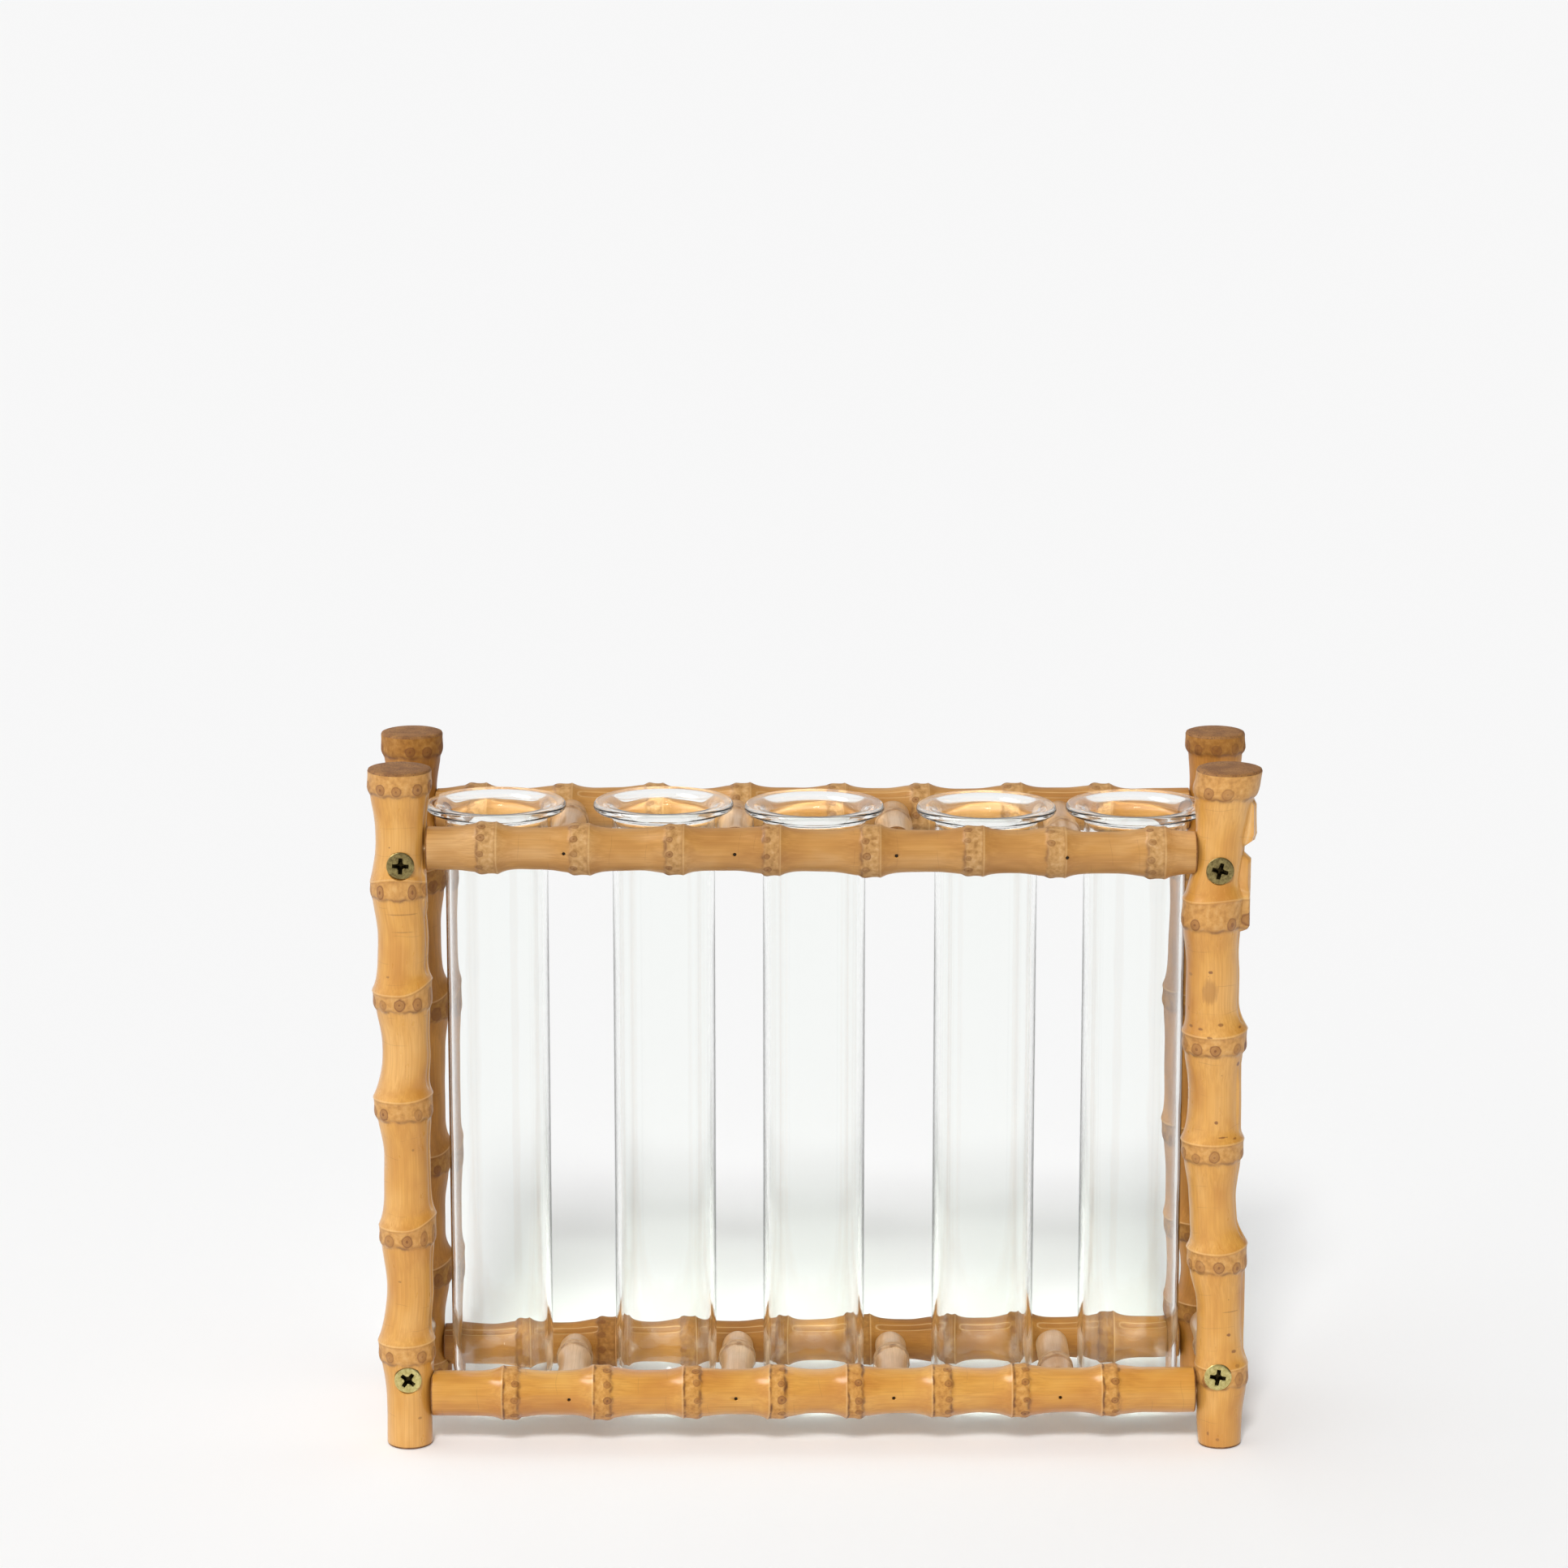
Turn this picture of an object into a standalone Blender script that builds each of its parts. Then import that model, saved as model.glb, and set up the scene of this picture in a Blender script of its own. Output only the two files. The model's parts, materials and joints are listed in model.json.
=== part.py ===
"""Bamboo bud vase: a cane rack that carries five hanging glass tubes.

Two ladders of cane stand one behind the other. Each ladder is two posts with a top and a
bottom rail doweled between them. Short cane pegs, nailed through the rails, and short cane
spacers, screwed through the posts, hold the two ladders apart. The tubes hang by their
flared rims on the top rails and the top pegs, and lift straight out.

Units are metres with +Z up. X runs along the rack, the front faces -Y, the feet stand on
Z = 0. Along a cane, distances run the way its nodes point: a slow flare, the ridge, the
collar that carries the root scars, then a short step back to the waist.
"""

import math
from dataclasses import dataclass

import bmesh
import bpy
from mathutils import Matrix, Vector

# Glass tubes
TUBE_RADIUS = 0.0150
TUBE_WALL = 0.0014
TUBE_LENGTH = 0.1860
RIM_OVERHANG = 0.0055
RIM_THICKNESS = 0.0024
RIM_FLARE = 0.0032
TUBE_FLOOR_GAP = 0.0026

# Post cane
POST_WAIST_RADIUS = 0.0071
POST_RIDGE_RADIUS = 0.0092
POST_COLLAR_RADIUS = 0.0088
POST_FLARE_LENGTH = 0.0100
POST_COLLAR_LENGTH = 0.0062
POST_STEP_LENGTH = 0.0028

# Rail cane
RAIL_WAIST_RADIUS = 0.0061
RAIL_RIDGE_RADIUS = 0.0079
RAIL_COLLAR_RADIUS = 0.0076
RAIL_FLARE_LENGTH = 0.0080
RAIL_COLLAR_LENGTH = 0.0052
RAIL_STEP_LENGTH = 0.0020

# Cane of the short pegs and spacers
PEG_WAIST_RADIUS = 0.0047
PEG_RIDGE_RADIUS = 0.0055
PEG_COLLAR_RADIUS = 0.0053
PEG_FLARE_LENGTH = 0.0080
PEG_COLLAR_LENGTH = 0.0040
PEG_STEP_LENGTH = 0.0018

# Growth marks shared by every cane
NODE_LIFT = 0.0010
GROOVE_DEPTH = 0.0008
RING_SPACE = 0.0016

# Rack layout
POST_ABOVE_TOP_RAIL = 0.0235
BOTTOM_RAIL_HEIGHT = 0.0152
TUBE_TO_RAIL_GAP = 0.0026
TUBE_SIDE_GAP = 0.0004
SPACER_BELOW_TOP_RAIL = 0.0037
SPACER_ABOVE_BOTTOM_RAIL = 0.0063

# Screws through the posts into the spacers
SCREW_LENGTH = 0.0300
SCREW_SHANK_RADIUS = 0.00175
SCREW_HEAD_RADIUS = 0.0040
SCREW_HEAD_DEPTH = 0.0026
SCREW_HEAD_EDGE = 0.0004
SCREW_TIP_LENGTH = 0.0040
SCREW_SINK = 0.0008
RECESS_REACH = 0.0022
RECESS_ARM_WIDTH = 0.0009
RECESS_DEPTH = 0.0016
RECESS_FLOOR_SHARE = 0.45

# Dowels between the rails and the posts
DOWEL_RADIUS = 0.0015
DOWEL_IN_POST = 0.0044
DOWEL_IN_RAIL = 0.0100
DOWEL_CHAMFER = 0.0004

# Brads through the rails into the pegs
BRAD_LENGTH = 0.0240
BRAD_SHANK_RADIUS = 0.00055
BRAD_HEAD_RADIUS = 0.00080
BRAD_HEAD_DEPTH = 0.0006
BRAD_TIP_LENGTH = 0.0015
BRAD_SINK = 0.0001

# Fits
SEAT_GAP = 0.0003
BORE_GAP = 0.0003
HOLE_RUN_OUT = 0.0060

# Facets
POST_SIDES = 12
RAIL_SIDES = 10
PEG_SIDES = 8
TUBE_SIDES = 18
SCREW_SIDES = 12
DOWEL_SIDES = 6
BRAD_SIDES = 6
ROUND_END_STEPS = 4
SHARP_ANGLE = math.radians(42.0)
WELD = 0.000002

# Free width beside each tube, left to right, and where the loose tube stands in it:
# -1 is hard left, 0 the middle and 1 hard right
BAY_PLAY = (0.0062, 0.0079, 0.0053, 0.0078, 0.0058)
BAY_LEAN = (0.95, 0.95, -0.10, 0.70, -0.70)

# Node spacings along each cane, in its own direction; they repeat if the cane is longer
POST_TOP_NODE = 0.0
FRONT_LEFT_SPACINGS = (0.0333, 0.0315, 0.0328, 0.0388, 0.0354)
FRONT_RIGHT_SPACINGS = (0.0396, 0.0380, 0.0320, 0.0334, 0.0344)
REAR_LEFT_SPACINGS = (0.0410, 0.0404, 0.0479, 0.0354, 0.0300)
REAR_RIGHT_SPACINGS = (0.0380, 0.0410, 0.0414, 0.0299, 0.0257)
FRONT_TOP_SPACINGS = (0.0105, 0.0285, 0.0235, 0.0296, 0.0287, 0.0277, 0.0271, 0.0266)
FRONT_BOTTOM_SPACINGS = (0.0195, 0.0280, 0.0255, 0.0244, 0.0246, 0.0251, 0.0239, 0.0263)
REAR_TOP_SPACINGS = (0.0230, 0.0262, 0.0275, 0.0248, 0.0281, 0.0259, 0.0270, 0.0255)
REAR_BOTTOM_SPACINGS = (0.0188, 0.0246, 0.0245, 0.0244, 0.0262, 0.0251, 0.0258, 0.0249)
PEG_FIRST_NODES = (0.0080, 0.0095, 0.0130, 0.0230)
PEG_NODE_SPACING = 0.0250
SPACER_FIRST_NODE = 0.0190
END_MARGIN = 0.0035

# How far each pair of posts bows inwards at mid height, and how far each rail climbs from
# its left end to its right end
LEFT_POST_BOW = 0.0012
RIGHT_POST_BOW = 0.0040
FRONT_TOP_CLIMB = -0.0015
FRONT_BOTTOM_CLIMB = 0.0012
REAR_TOP_CLIMB = 0.0
REAR_BOTTOM_CLIMB = 0.0024
REAR_BOTTOM_DROP = 0.0022

# Turn of each screw's cross recess
SCREW_TURNS = {
    "front_left_top": 2.0,
    "front_left_bottom": 38.0,
    "front_right_top": 14.0,
    "front_right_bottom": 8.0,
    "rear_left_top": 25.0,
    "rear_left_bottom": -12.0,
    "rear_right_top": 40.0,
    "rear_right_bottom": 5.0,
}

# Name, sRGB colour, roughness, metallic and transmission of each finish
FINISHES = {
    "post_cane": ("DFA862", 0.42, 0.0, 0.0),
    "rail_cane": ("DCA04E", 0.30, 0.0, 0.0),
    "top_rail_cane": ("C4965F", 0.50, 0.0, 0.0),
    "peg_cane": ("D9B083", 0.48, 0.0, 0.0),
    "clear_glass": ("F2F7F2", 0.03, 0.0, 1.0),
    "aged_brass": ("7A6C45", 0.38, 1.0, 0.0),
    "bright_brass": ("C9BE7E", 0.30, 1.0, 0.0),
    "dowel_wood": ("D8BC8C", 0.60, 0.0, 0.0),
    "brad_steel": ("4A4038", 0.45, 1.0, 0.0),
}


@dataclass(frozen=True)
class CaneStock:
    """Cross sizes of one kind of cane."""

    waist: float
    ridge: float
    collar: float
    flare_length: float
    collar_length: float
    step_length: float
    sides: int

    def widest(self):
        """Largest radius anywhere on the cane."""
        return max(self.waist, self.ridge, self.collar)


@dataclass(frozen=True)
class Cane:
    """One cut length of cane between two points, with its nodes and its bow."""

    name: str
    stock: CaneStock
    start: Vector
    end: Vector
    side: Vector
    nodes: tuple
    bow: float = 0.0
    alternate: bool = True

    def length(self):
        return (self.end - self.start).length

    def frame(self):
        """Matrix with its origin at the start, +Z along the cane and +X to its side."""
        along = (self.end - self.start).normalized()
        across = (self.side - along * self.side.dot(along)).normalized()
        third = along.cross(across)
        turn = Matrix((across, third, along)).transposed().to_4x4()
        return Matrix.Translation(self.start) @ turn

    def sag(self, along):
        """Sideways bow at a distance along the cane."""
        return self.bow * math.sin(math.pi * along / self.length()) ** 2

    def centre(self, along):
        """World point on the bowed axis."""
        return self.frame() @ Vector((self.sag(along), 0.0, along))

    def radius(self, along):
        """Radius of the cane at a distance along it."""
        stock = self.stock
        radius = stock.waist
        for node in self.nodes:
            past = along - node
            if -stock.flare_length < past <= 0.0:
                share = (1.0 + past / stock.flare_length) ** 2
                radius = max(radius, stock.waist + (stock.ridge - stock.waist) * share)
            elif 0.0 < past <= stock.collar_length:
                share = 1.0 - past / stock.collar_length
                radius = max(radius, stock.collar + (stock.ridge - stock.collar) * share)
            elif 0.0 < past < stock.collar_length + stock.step_length:
                share = 1.0 - (past - stock.collar_length) / stock.step_length
                radius = max(radius, stock.waist + (stock.collar - stock.waist) * share)
        return radius

    def reach(self, low, high):
        """Largest radius between two distances, with the lift of the nodes allowed for."""
        low, high = min(low, high) - NODE_LIFT, max(low, high) + NODE_LIFT
        steps = 40
        places = [low + (high - low) * index / steps for index in range(steps + 1)]
        places += [node for node in self.nodes if low <= node <= high]
        return max(self.radius(place) for place in places)

    def stations(self):
        """Distance, lift share and groove share of each ring that the cane is lofted through."""
        stock = self.stock
        marks = []
        for node in self.nodes:
            marks += [
                (node - stock.flare_length, 0.0, 1.0),
                (node - stock.flare_length * 0.4, 0.5, 0.6),
                (node, 1.0, 0.0),
                (node + stock.collar_length, 1.0, 0.0),
                (node + stock.collar_length + stock.step_length, 0.0, 1.0),
            ]
        kept = [(0.0, 0.0, 0.0 if 0.0 in self.nodes else 1.0)]
        for mark in sorted(marks):
            inside = RING_SPACE < mark[0] < self.length() - RING_SPACE
            if inside and mark[0] - kept[-1][0] > RING_SPACE / 4.0:
                kept.append(mark)
        kept.append((self.length(), 0.0, 1.0))
        return kept


POST_CANE = CaneStock(
    POST_WAIST_RADIUS,
    POST_RIDGE_RADIUS,
    POST_COLLAR_RADIUS,
    POST_FLARE_LENGTH,
    POST_COLLAR_LENGTH,
    POST_STEP_LENGTH,
    POST_SIDES,
)
RAIL_CANE = CaneStock(
    RAIL_WAIST_RADIUS,
    RAIL_RIDGE_RADIUS,
    RAIL_COLLAR_RADIUS,
    RAIL_FLARE_LENGTH,
    RAIL_COLLAR_LENGTH,
    RAIL_STEP_LENGTH,
    RAIL_SIDES,
)
PEG_CANE = CaneStock(
    PEG_WAIST_RADIUS,
    PEG_RIDGE_RADIUS,
    PEG_COLLAR_RADIUS,
    PEG_FLARE_LENGTH,
    PEG_COLLAR_LENGTH,
    PEG_STEP_LENGTH,
    PEG_SIDES,
)

# Heights and spacings that follow from the sizes above
RIM_RADIUS = TUBE_RADIUS + RIM_OVERHANG
TOP_RAIL_HEIGHT = (
    TUBE_FLOOR_GAP + TUBE_LENGTH - RIM_THICKNESS - max(RAIL_CANE.waist, PEG_CANE.widest())
)
POST_HEIGHT = TOP_RAIL_HEIGHT + POST_ABOVE_TOP_RAIL
HALF_DEPTH = TUBE_RADIUS + TUBE_TO_RAIL_GAP + RAIL_CANE.widest()


def bay_widths():
    """Distance across each bay, from peg axis to peg axis or to the spacer's face."""
    peg = PEG_CANE.widest()
    inner = max(2.0 * RIM_RADIUS, 2.0 * TUBE_RADIUS + 2.0 * peg)
    outer = 2.0 * TUBE_RADIUS + peg
    last = len(BAY_PLAY) - 1
    return [play + (outer if bay in (0, last) else inner) for bay, play in enumerate(BAY_PLAY)]


def lay_out_bays():
    """X of both post axes, of the pegs and of the tubes."""
    widths = bay_widths()
    face = sum(widths) / 2.0
    edges = [-face]
    for width in widths:
        edges.append(edges[-1] + width)
    pegs = edges[1:-1]
    peg = PEG_CANE.widest()
    tubes = []
    for bay, play in enumerate(BAY_PLAY):
        low = edges[bay] + (peg if bay > 0 else 0.0)
        high = edges[bay + 1] - (peg if bay < len(BAY_PLAY) - 1 else 0.0)
        slack = max(0.0, play / 2.0 - TUBE_SIDE_GAP)
        tubes.append((low + high) / 2.0 + BAY_LEAN[bay] * slack)
    return face + PEG_CANE.widest(), pegs, tubes


POST_X, PEG_PLACES, TUBE_PLACES = lay_out_bays()


def node_places(first, spacings, length):
    """Ridge distances of the nodes on a cane of the given length."""
    places = []
    place = first
    turn = 0
    while place < length - END_MARGIN:
        places.append(place)
        place += spacings[turn % len(spacings)]
        turn += 1
    return tuple(places)


def clear_scene():
    """Removes whatever the file holds."""
    for item in list(bpy.data.objects):
        bpy.data.objects.remove(item, do_unlink=True)


def linear(code):
    """Linear colour of an sRGB hex code."""
    channels = [int(code[place:place + 2], 16) / 255.0 for place in (0, 2, 4)]
    return [((c + 0.055) / 1.055) ** 2.4 if c > 0.04045 else c / 12.92 for c in channels]


def finish(name):
    """Material of a named finish, made the first time it is asked for."""
    material = bpy.data.materials.get(name)
    if material is None:
        code, roughness, metallic, transmission = FINISHES[name]
        material = bpy.data.materials.new(name)
        material.use_nodes = True
        shader = material.node_tree.nodes["Principled BSDF"]
        shader.inputs["Base Color"].default_value = (*linear(code), 1.0)
        shader.inputs["Roughness"].default_value = roughness
        shader.inputs["Metallic"].default_value = metallic
        shader.inputs["Transmission Weight"].default_value = transmission
        material.diffuse_color = (*linear(code), 1.0)
    return material


def add_object(name, shell, frame, finish_name, rack):
    """Turns a finished shell into a named object that stands in the rack."""
    bmesh.ops.recalc_face_normals(shell, faces=shell.faces)
    mesh = bpy.data.meshes.new(name)
    shell.to_mesh(mesh)
    shell.free()
    mesh.shade_smooth()
    mesh.set_sharp_from_angle(angle=SHARP_ANGLE)
    mesh.materials.append(finish(finish_name))
    piece = bpy.data.objects.new(name, mesh)
    bpy.context.scene.collection.objects.link(piece)
    piece.parent = rack
    piece.location = frame.to_translation()
    piece.rotation_euler = frame.to_euler()
    return piece


def turned_shell(shell, profile, sides, frame):
    """Adds a solid of revolution round the frame's Z to a shell.

    The profile is (radius, height) pairs that begin and end on the axis.
    """
    path = [shell.verts.new((radius, 0.0, height)) for radius, height in profile]
    edges = [shell.edges.new(pair) for pair in zip(path, path[1:])]
    before = set(shell.verts) - set(path)
    bmesh.ops.spin(
        shell,
        geom=path + edges,
        axis=(0.0, 0.0, 1.0),
        cent=(0.0, 0.0, 0.0),
        angle=2.0 * math.pi,
        steps=sides,
        use_merge=True,
    )
    fresh = [vert for vert in shell.verts if vert not in before]
    bmesh.ops.remove_doubles(shell, verts=fresh, dist=WELD)
    fresh = [vert for vert in shell.verts if vert not in before]
    bmesh.ops.transform(shell, matrix=frame, verts=fresh)


def frame_towards(origin, direction, turn=0.0):
    """Frame at a point with +Z along a direction, turned about it."""
    rotation = Vector(direction).to_track_quat("Z", "Y").to_matrix().to_4x4()
    return Matrix.Translation(origin) @ rotation @ Matrix.Rotation(turn, 4, "Z")


def bore(piece, holes):
    """Cuts (profile, sides, frame) holes out of a piece with one Boolean."""
    shell = bmesh.new()
    for profile, sides, frame in holes:
        turned_shell(shell, profile, sides, frame)
    cutter_name = piece.name + "_holes"
    cutter = add_object(cutter_name, shell, Matrix.Identity(4), "dowel_wood", piece.parent)
    cutter.hide_render = True
    cutter.display_type = "WIRE"
    cut = piece.modifiers.new("holes", "BOOLEAN")
    cut.operation = "DIFFERENCE"
    cut.solver = "EXACT"
    cut.object = cutter


def add_cane(cane, finish_name, rack):
    """Lofts a cane through its rings and closes both cut ends."""
    shell = bmesh.new()
    sides = cane.stock.sides
    loops = []
    for along, lift, groove in cane.stations():
        passed = sum(1 for node in cane.nodes if node <= along)
        facing = math.pi * (passed % 2) if cane.alternate else 0.0
        radius = cane.radius(along)
        loop = []
        for index in range(sides):
            angle = 2.0 * math.pi * index / sides
            turned = math.cos(angle - facing)
            local = radius - GROOVE_DEPTH * groove * max(0.0, turned) ** 8
            across = cane.sag(along) + local * math.cos(angle)
            shift = NODE_LIFT * lift * turned
            loop.append(shell.verts.new((across, local * math.sin(angle), along + shift)))
        loops.append(loop)
    for near, far in zip(loops, loops[1:]):
        for index in range(sides):
            after = (index + 1) % sides
            shell.faces.new((near[index], near[after], far[after], far[index]))
    shell.faces.new(loops[0])
    shell.faces.new(loops[-1])
    return add_object(cane.name, shell, cane.frame(), finish_name, rack)


def grown(profile, gap):
    """Hole profile that clears a fastener by a gap and runs out past its head."""
    hole = [(0.0, -HOLE_RUN_OUT), (profile[1][0] + gap, -HOLE_RUN_OUT)]
    hole += [(radius + gap, height) for radius, height in profile[2:-1]]
    hole.append((profile[-2][0] + gap, profile[-1][1] + gap))
    hole.append((0.0, profile[-1][1] + gap))
    return hole


def screw_profile():
    """Countersunk wood screw from its head's face to its tip."""
    return [
        (0.0, 0.0),
        (SCREW_HEAD_RADIUS, 0.0),
        (SCREW_HEAD_RADIUS, SCREW_HEAD_EDGE),
        (SCREW_SHANK_RADIUS, SCREW_HEAD_DEPTH),
        (SCREW_SHANK_RADIUS, SCREW_LENGTH - SCREW_TIP_LENGTH),
        (0.0, SCREW_LENGTH),
    ]


def brad_profile():
    """Small round nail from its head's face to its tip."""
    return [
        (0.0, 0.0),
        (BRAD_HEAD_RADIUS, 0.0),
        (BRAD_HEAD_RADIUS, BRAD_HEAD_DEPTH * 0.5),
        (BRAD_SHANK_RADIUS, BRAD_HEAD_DEPTH),
        (BRAD_SHANK_RADIUS, BRAD_LENGTH - BRAD_TIP_LENGTH),
        (0.0, BRAD_LENGTH),
    ]


def dowel_profile(gap=0.0):
    """Chamfered dowel, or the hole for it where a gap is given."""
    low, high = -DOWEL_IN_POST - gap, DOWEL_IN_RAIL + gap
    radius = DOWEL_RADIUS + gap
    tip = radius if gap else radius - DOWEL_CHAMFER
    chamfer = 0.0 if gap else DOWEL_CHAMFER
    profile = [(0.0, low), (tip, low)]
    if chamfer:
        profile += [(radius, low + chamfer), (radius, high - chamfer)]
    profile += [(tip, high), (0.0, high)]
    return profile


def tube_profile():
    """Section of a tube, from its outer pole round the rim to its inner pole.

    Height 0 is the flat underside of the rim, which sits on the rack.
    """
    inner = TUBE_RADIUS - TUBE_WALL
    centre = RIM_THICKNESS - TUBE_LENGTH + TUBE_RADIUS
    flare = min(RIM_FLARE, RIM_OVERHANG * 0.8)
    edge = RIM_THICKNESS * 0.3
    slant = math.cos(math.pi / 4.0)
    turns = [math.pi / 2.0 * step / ROUND_END_STEPS for step in range(ROUND_END_STEPS + 1)]
    outside = [(TUBE_RADIUS * math.sin(a), centre - TUBE_RADIUS * math.cos(a)) for a in turns]
    inside = [(inner * math.sin(a), centre - inner * math.cos(a)) for a in turns]
    rim = [
        (TUBE_RADIUS, -flare),
        (TUBE_RADIUS + flare * (1.0 - slant), -flare * (1.0 - slant)),
        (TUBE_RADIUS + flare, 0.0),
        (RIM_RADIUS - edge, 0.0),
        (RIM_RADIUS, RIM_THICKNESS * 0.5),
        (RIM_RADIUS - edge, RIM_THICKNESS),
        (TUBE_RADIUS + flare * 0.5, RIM_THICKNESS),
        (inner + TUBE_WALL * 0.5, RIM_THICKNESS * 0.4),
        (inner, -flare * 0.5),
    ]
    return outside + rim + inside[::-1]


def under_rim():
    """Radius and height of the points of the tube that can touch what it hangs on."""
    return [(radius, height) for radius, height in tube_profile() if radius > TUBE_RADIUS * 0.999
            and -RIM_FLARE <= height <= RIM_THICKNESS * 0.5]


def post_cane(name, side, face, spacings, bow):
    """A post, from the ridge it is cut at down to its foot."""
    return Cane(
        name=name,
        stock=POST_CANE,
        start=Vector((side * POST_X, face * HALF_DEPTH, POST_HEIGHT)),
        end=Vector((side * POST_X, face * HALF_DEPTH, 0.0)),
        side=Vector((1.0, 0.0, 0.0)),
        nodes=node_places(POST_TOP_NODE, spacings, POST_HEIGHT - END_MARGIN),
        bow=-side * bow,
    )


def post_face(post, height, spread, side):
    """X of the flat end that clears a post over a spread of heights."""
    along = POST_HEIGHT - height
    reach = post.reach(along - spread, along + spread)
    return post.centre(along).x - side * (reach + SEAT_GAP)


def rail_cane(name, posts, face, height, climb, spacings, leftwards):
    """A rail cut to fit between its two posts, growing towards the left or the right."""
    left_post, right_post = posts
    spread = RAIL_CANE.widest()
    left = Vector((
        post_face(left_post, height, spread, -1.0), face * HALF_DEPTH, height,
    ))
    right = Vector((
        post_face(right_post, height + climb, spread, 1.0), face * HALF_DEPTH, height + climb,
    ))
    start, end = (right, left) if leftwards else (left, right)
    length = (end - start).length
    return Cane(
        name=name,
        stock=RAIL_CANE,
        start=start,
        end=end,
        side=Vector((0.0, 0.6, -0.8)),
        nodes=node_places(spacings[0], spacings[1:], length),
        alternate=False,
    )


def along_rail(rail, x):
    """Distance along a rail at which its axis passes an X."""
    return (x - rail.start.x) / (rail.end.x - rail.start.x) * rail.length()


def rail_inner_face(rail, x, face):
    """Point beside a rail where the flat end of a peg lies."""
    along = along_rail(rail, x)
    spread = PEG_CANE.widest()
    reach = rail.reach(along - spread, along + spread)
    centre = rail.centre(along)
    return Vector((centre.x, centre.y - face * (reach + SEAT_GAP), centre.z))


def peg_cane(name, front_rail, rear_rail, x, first_node):
    """A peg cut square to fit between the front and the rear rail."""
    start = rail_inner_face(rear_rail, x, 1.0)
    end = rail_inner_face(front_rail, x, -1.0)
    start.x = x
    end.x = x
    length = (end - start).length
    return Cane(
        name=name,
        stock=PEG_CANE,
        start=start,
        end=end,
        side=Vector((0.3, 0.0, -1.0)),
        nodes=node_places(first_node, (PEG_NODE_SPACING,), length),
        alternate=False,
    )


def spacer_cane(name, front_post, rear_post, height):
    """A spacer cut square to fit between the front and the rear post of one side."""
    spread = PEG_CANE.widest()
    ends = []
    for post, face in ((rear_post, 1.0), (front_post, -1.0)):
        along = POST_HEIGHT - height
        reach = post.reach(along - spread, along + spread)
        centre = post.centre(along)
        ends.append(Vector((centre.x, centre.y - face * (reach + SEAT_GAP), centre.z)))
    start, end = ends
    return Cane(
        name=name,
        stock=PEG_CANE,
        start=start,
        end=end,
        side=Vector((0.0, 0.0, -1.0)),
        nodes=node_places(SPACER_FIRST_NODE, (PEG_NODE_SPACING,), (end - start).length),
        alternate=False,
    )


def support_height(point, rails, pegs):
    """Highest Z of the rails and pegs under a point, or None beside them all."""
    heights = []
    for rail in rails:
        along = along_rail(rail, point.x)
        reach = rail.reach(along, along)
        off = point.y - rail.centre(along).y
        if abs(off) < reach:
            heights.append(rail.centre(along).z + math.sqrt(reach * reach - off * off))
    for peg in pegs:
        along = (point.y - peg.start.y) / (peg.end.y - peg.start.y) * peg.length()
        reach = peg.reach(along, along)
        off = point.x - peg.start.x
        if abs(off) < reach and 0.0 <= along <= peg.length():
            heights.append(peg.centre(along).z + math.sqrt(reach * reach - off * off))
    return max(heights) if heights else None


def seat_height(x, rails, pegs):
    """Height at which a rim centred over an X comes to rest, with the seat gap."""
    needed = []
    turns = 72
    for radius, height in under_rim():
        for turn in range(turns):
            angle = 2.0 * math.pi * turn / turns
            point = Vector((x + radius * math.cos(angle), radius * math.sin(angle), 0.0))
            support = support_height(point, rails, pegs)
            if support is not None:
                needed.append(support - height)
    return max(needed) + SEAT_GAP


def add_recess(screw):
    """Cuts the cross recess into a screw's head."""
    arm = RECESS_ARM_WIDTH / 2.0
    corners = [
        (RECESS_REACH, -arm), (RECESS_REACH, arm), (arm, arm), (arm, RECESS_REACH),
        (-arm, RECESS_REACH), (-arm, arm), (-RECESS_REACH, arm), (-RECESS_REACH, -arm),
        (-arm, -arm), (-arm, -RECESS_REACH), (arm, -RECESS_REACH), (arm, -arm),
    ]
    shell = bmesh.new()
    levels = ((-RECESS_DEPTH * 0.5, 1.0), (0.0, 1.0), (RECESS_DEPTH, RECESS_FLOOR_SHARE))
    loops = [[shell.verts.new((x * share, y * share, z)) for x, y in corners]
             for z, share in levels]
    for near, far in zip(loops, loops[1:]):
        for index in range(len(corners)):
            after = (index + 1) % len(corners)
            shell.faces.new((near[index], near[after], far[after], far[index]))
    shell.faces.new(loops[0])
    shell.faces.new(loops[-1])
    frame = Matrix.LocRotScale(screw.location, screw.rotation_euler, None)
    cutter = add_object(screw.name + "_recess", shell, frame, "aged_brass", screw.parent)
    cutter.hide_render = True
    cutter.display_type = "WIRE"
    cut = screw.modifiers.new("recess", "BOOLEAN")
    cut.operation = "DIFFERENCE"
    cut.solver = "EXACT"
    cut.object = cutter


def add_turned(name, profile, sides, frame, finish_name, rack):
    """A turned piece as its own object, with its origin on its axis."""
    shell = bmesh.new()
    turned_shell(shell, profile, sides, Matrix.Identity(4))
    return add_object(name, shell, frame, finish_name, rack)


def make_posts():
    """The four posts by name."""
    return {
        "front_left": post_cane("front_left_post", -1.0, -1.0, FRONT_LEFT_SPACINGS, LEFT_POST_BOW),
        "front_right": post_cane(
            "front_right_post", 1.0, -1.0, FRONT_RIGHT_SPACINGS, RIGHT_POST_BOW
        ),
        "rear_left": post_cane("rear_left_post", -1.0, 1.0, REAR_LEFT_SPACINGS, LEFT_POST_BOW),
        "rear_right": post_cane("rear_right_post", 1.0, 1.0, REAR_RIGHT_SPACINGS, RIGHT_POST_BOW),
    }


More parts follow.
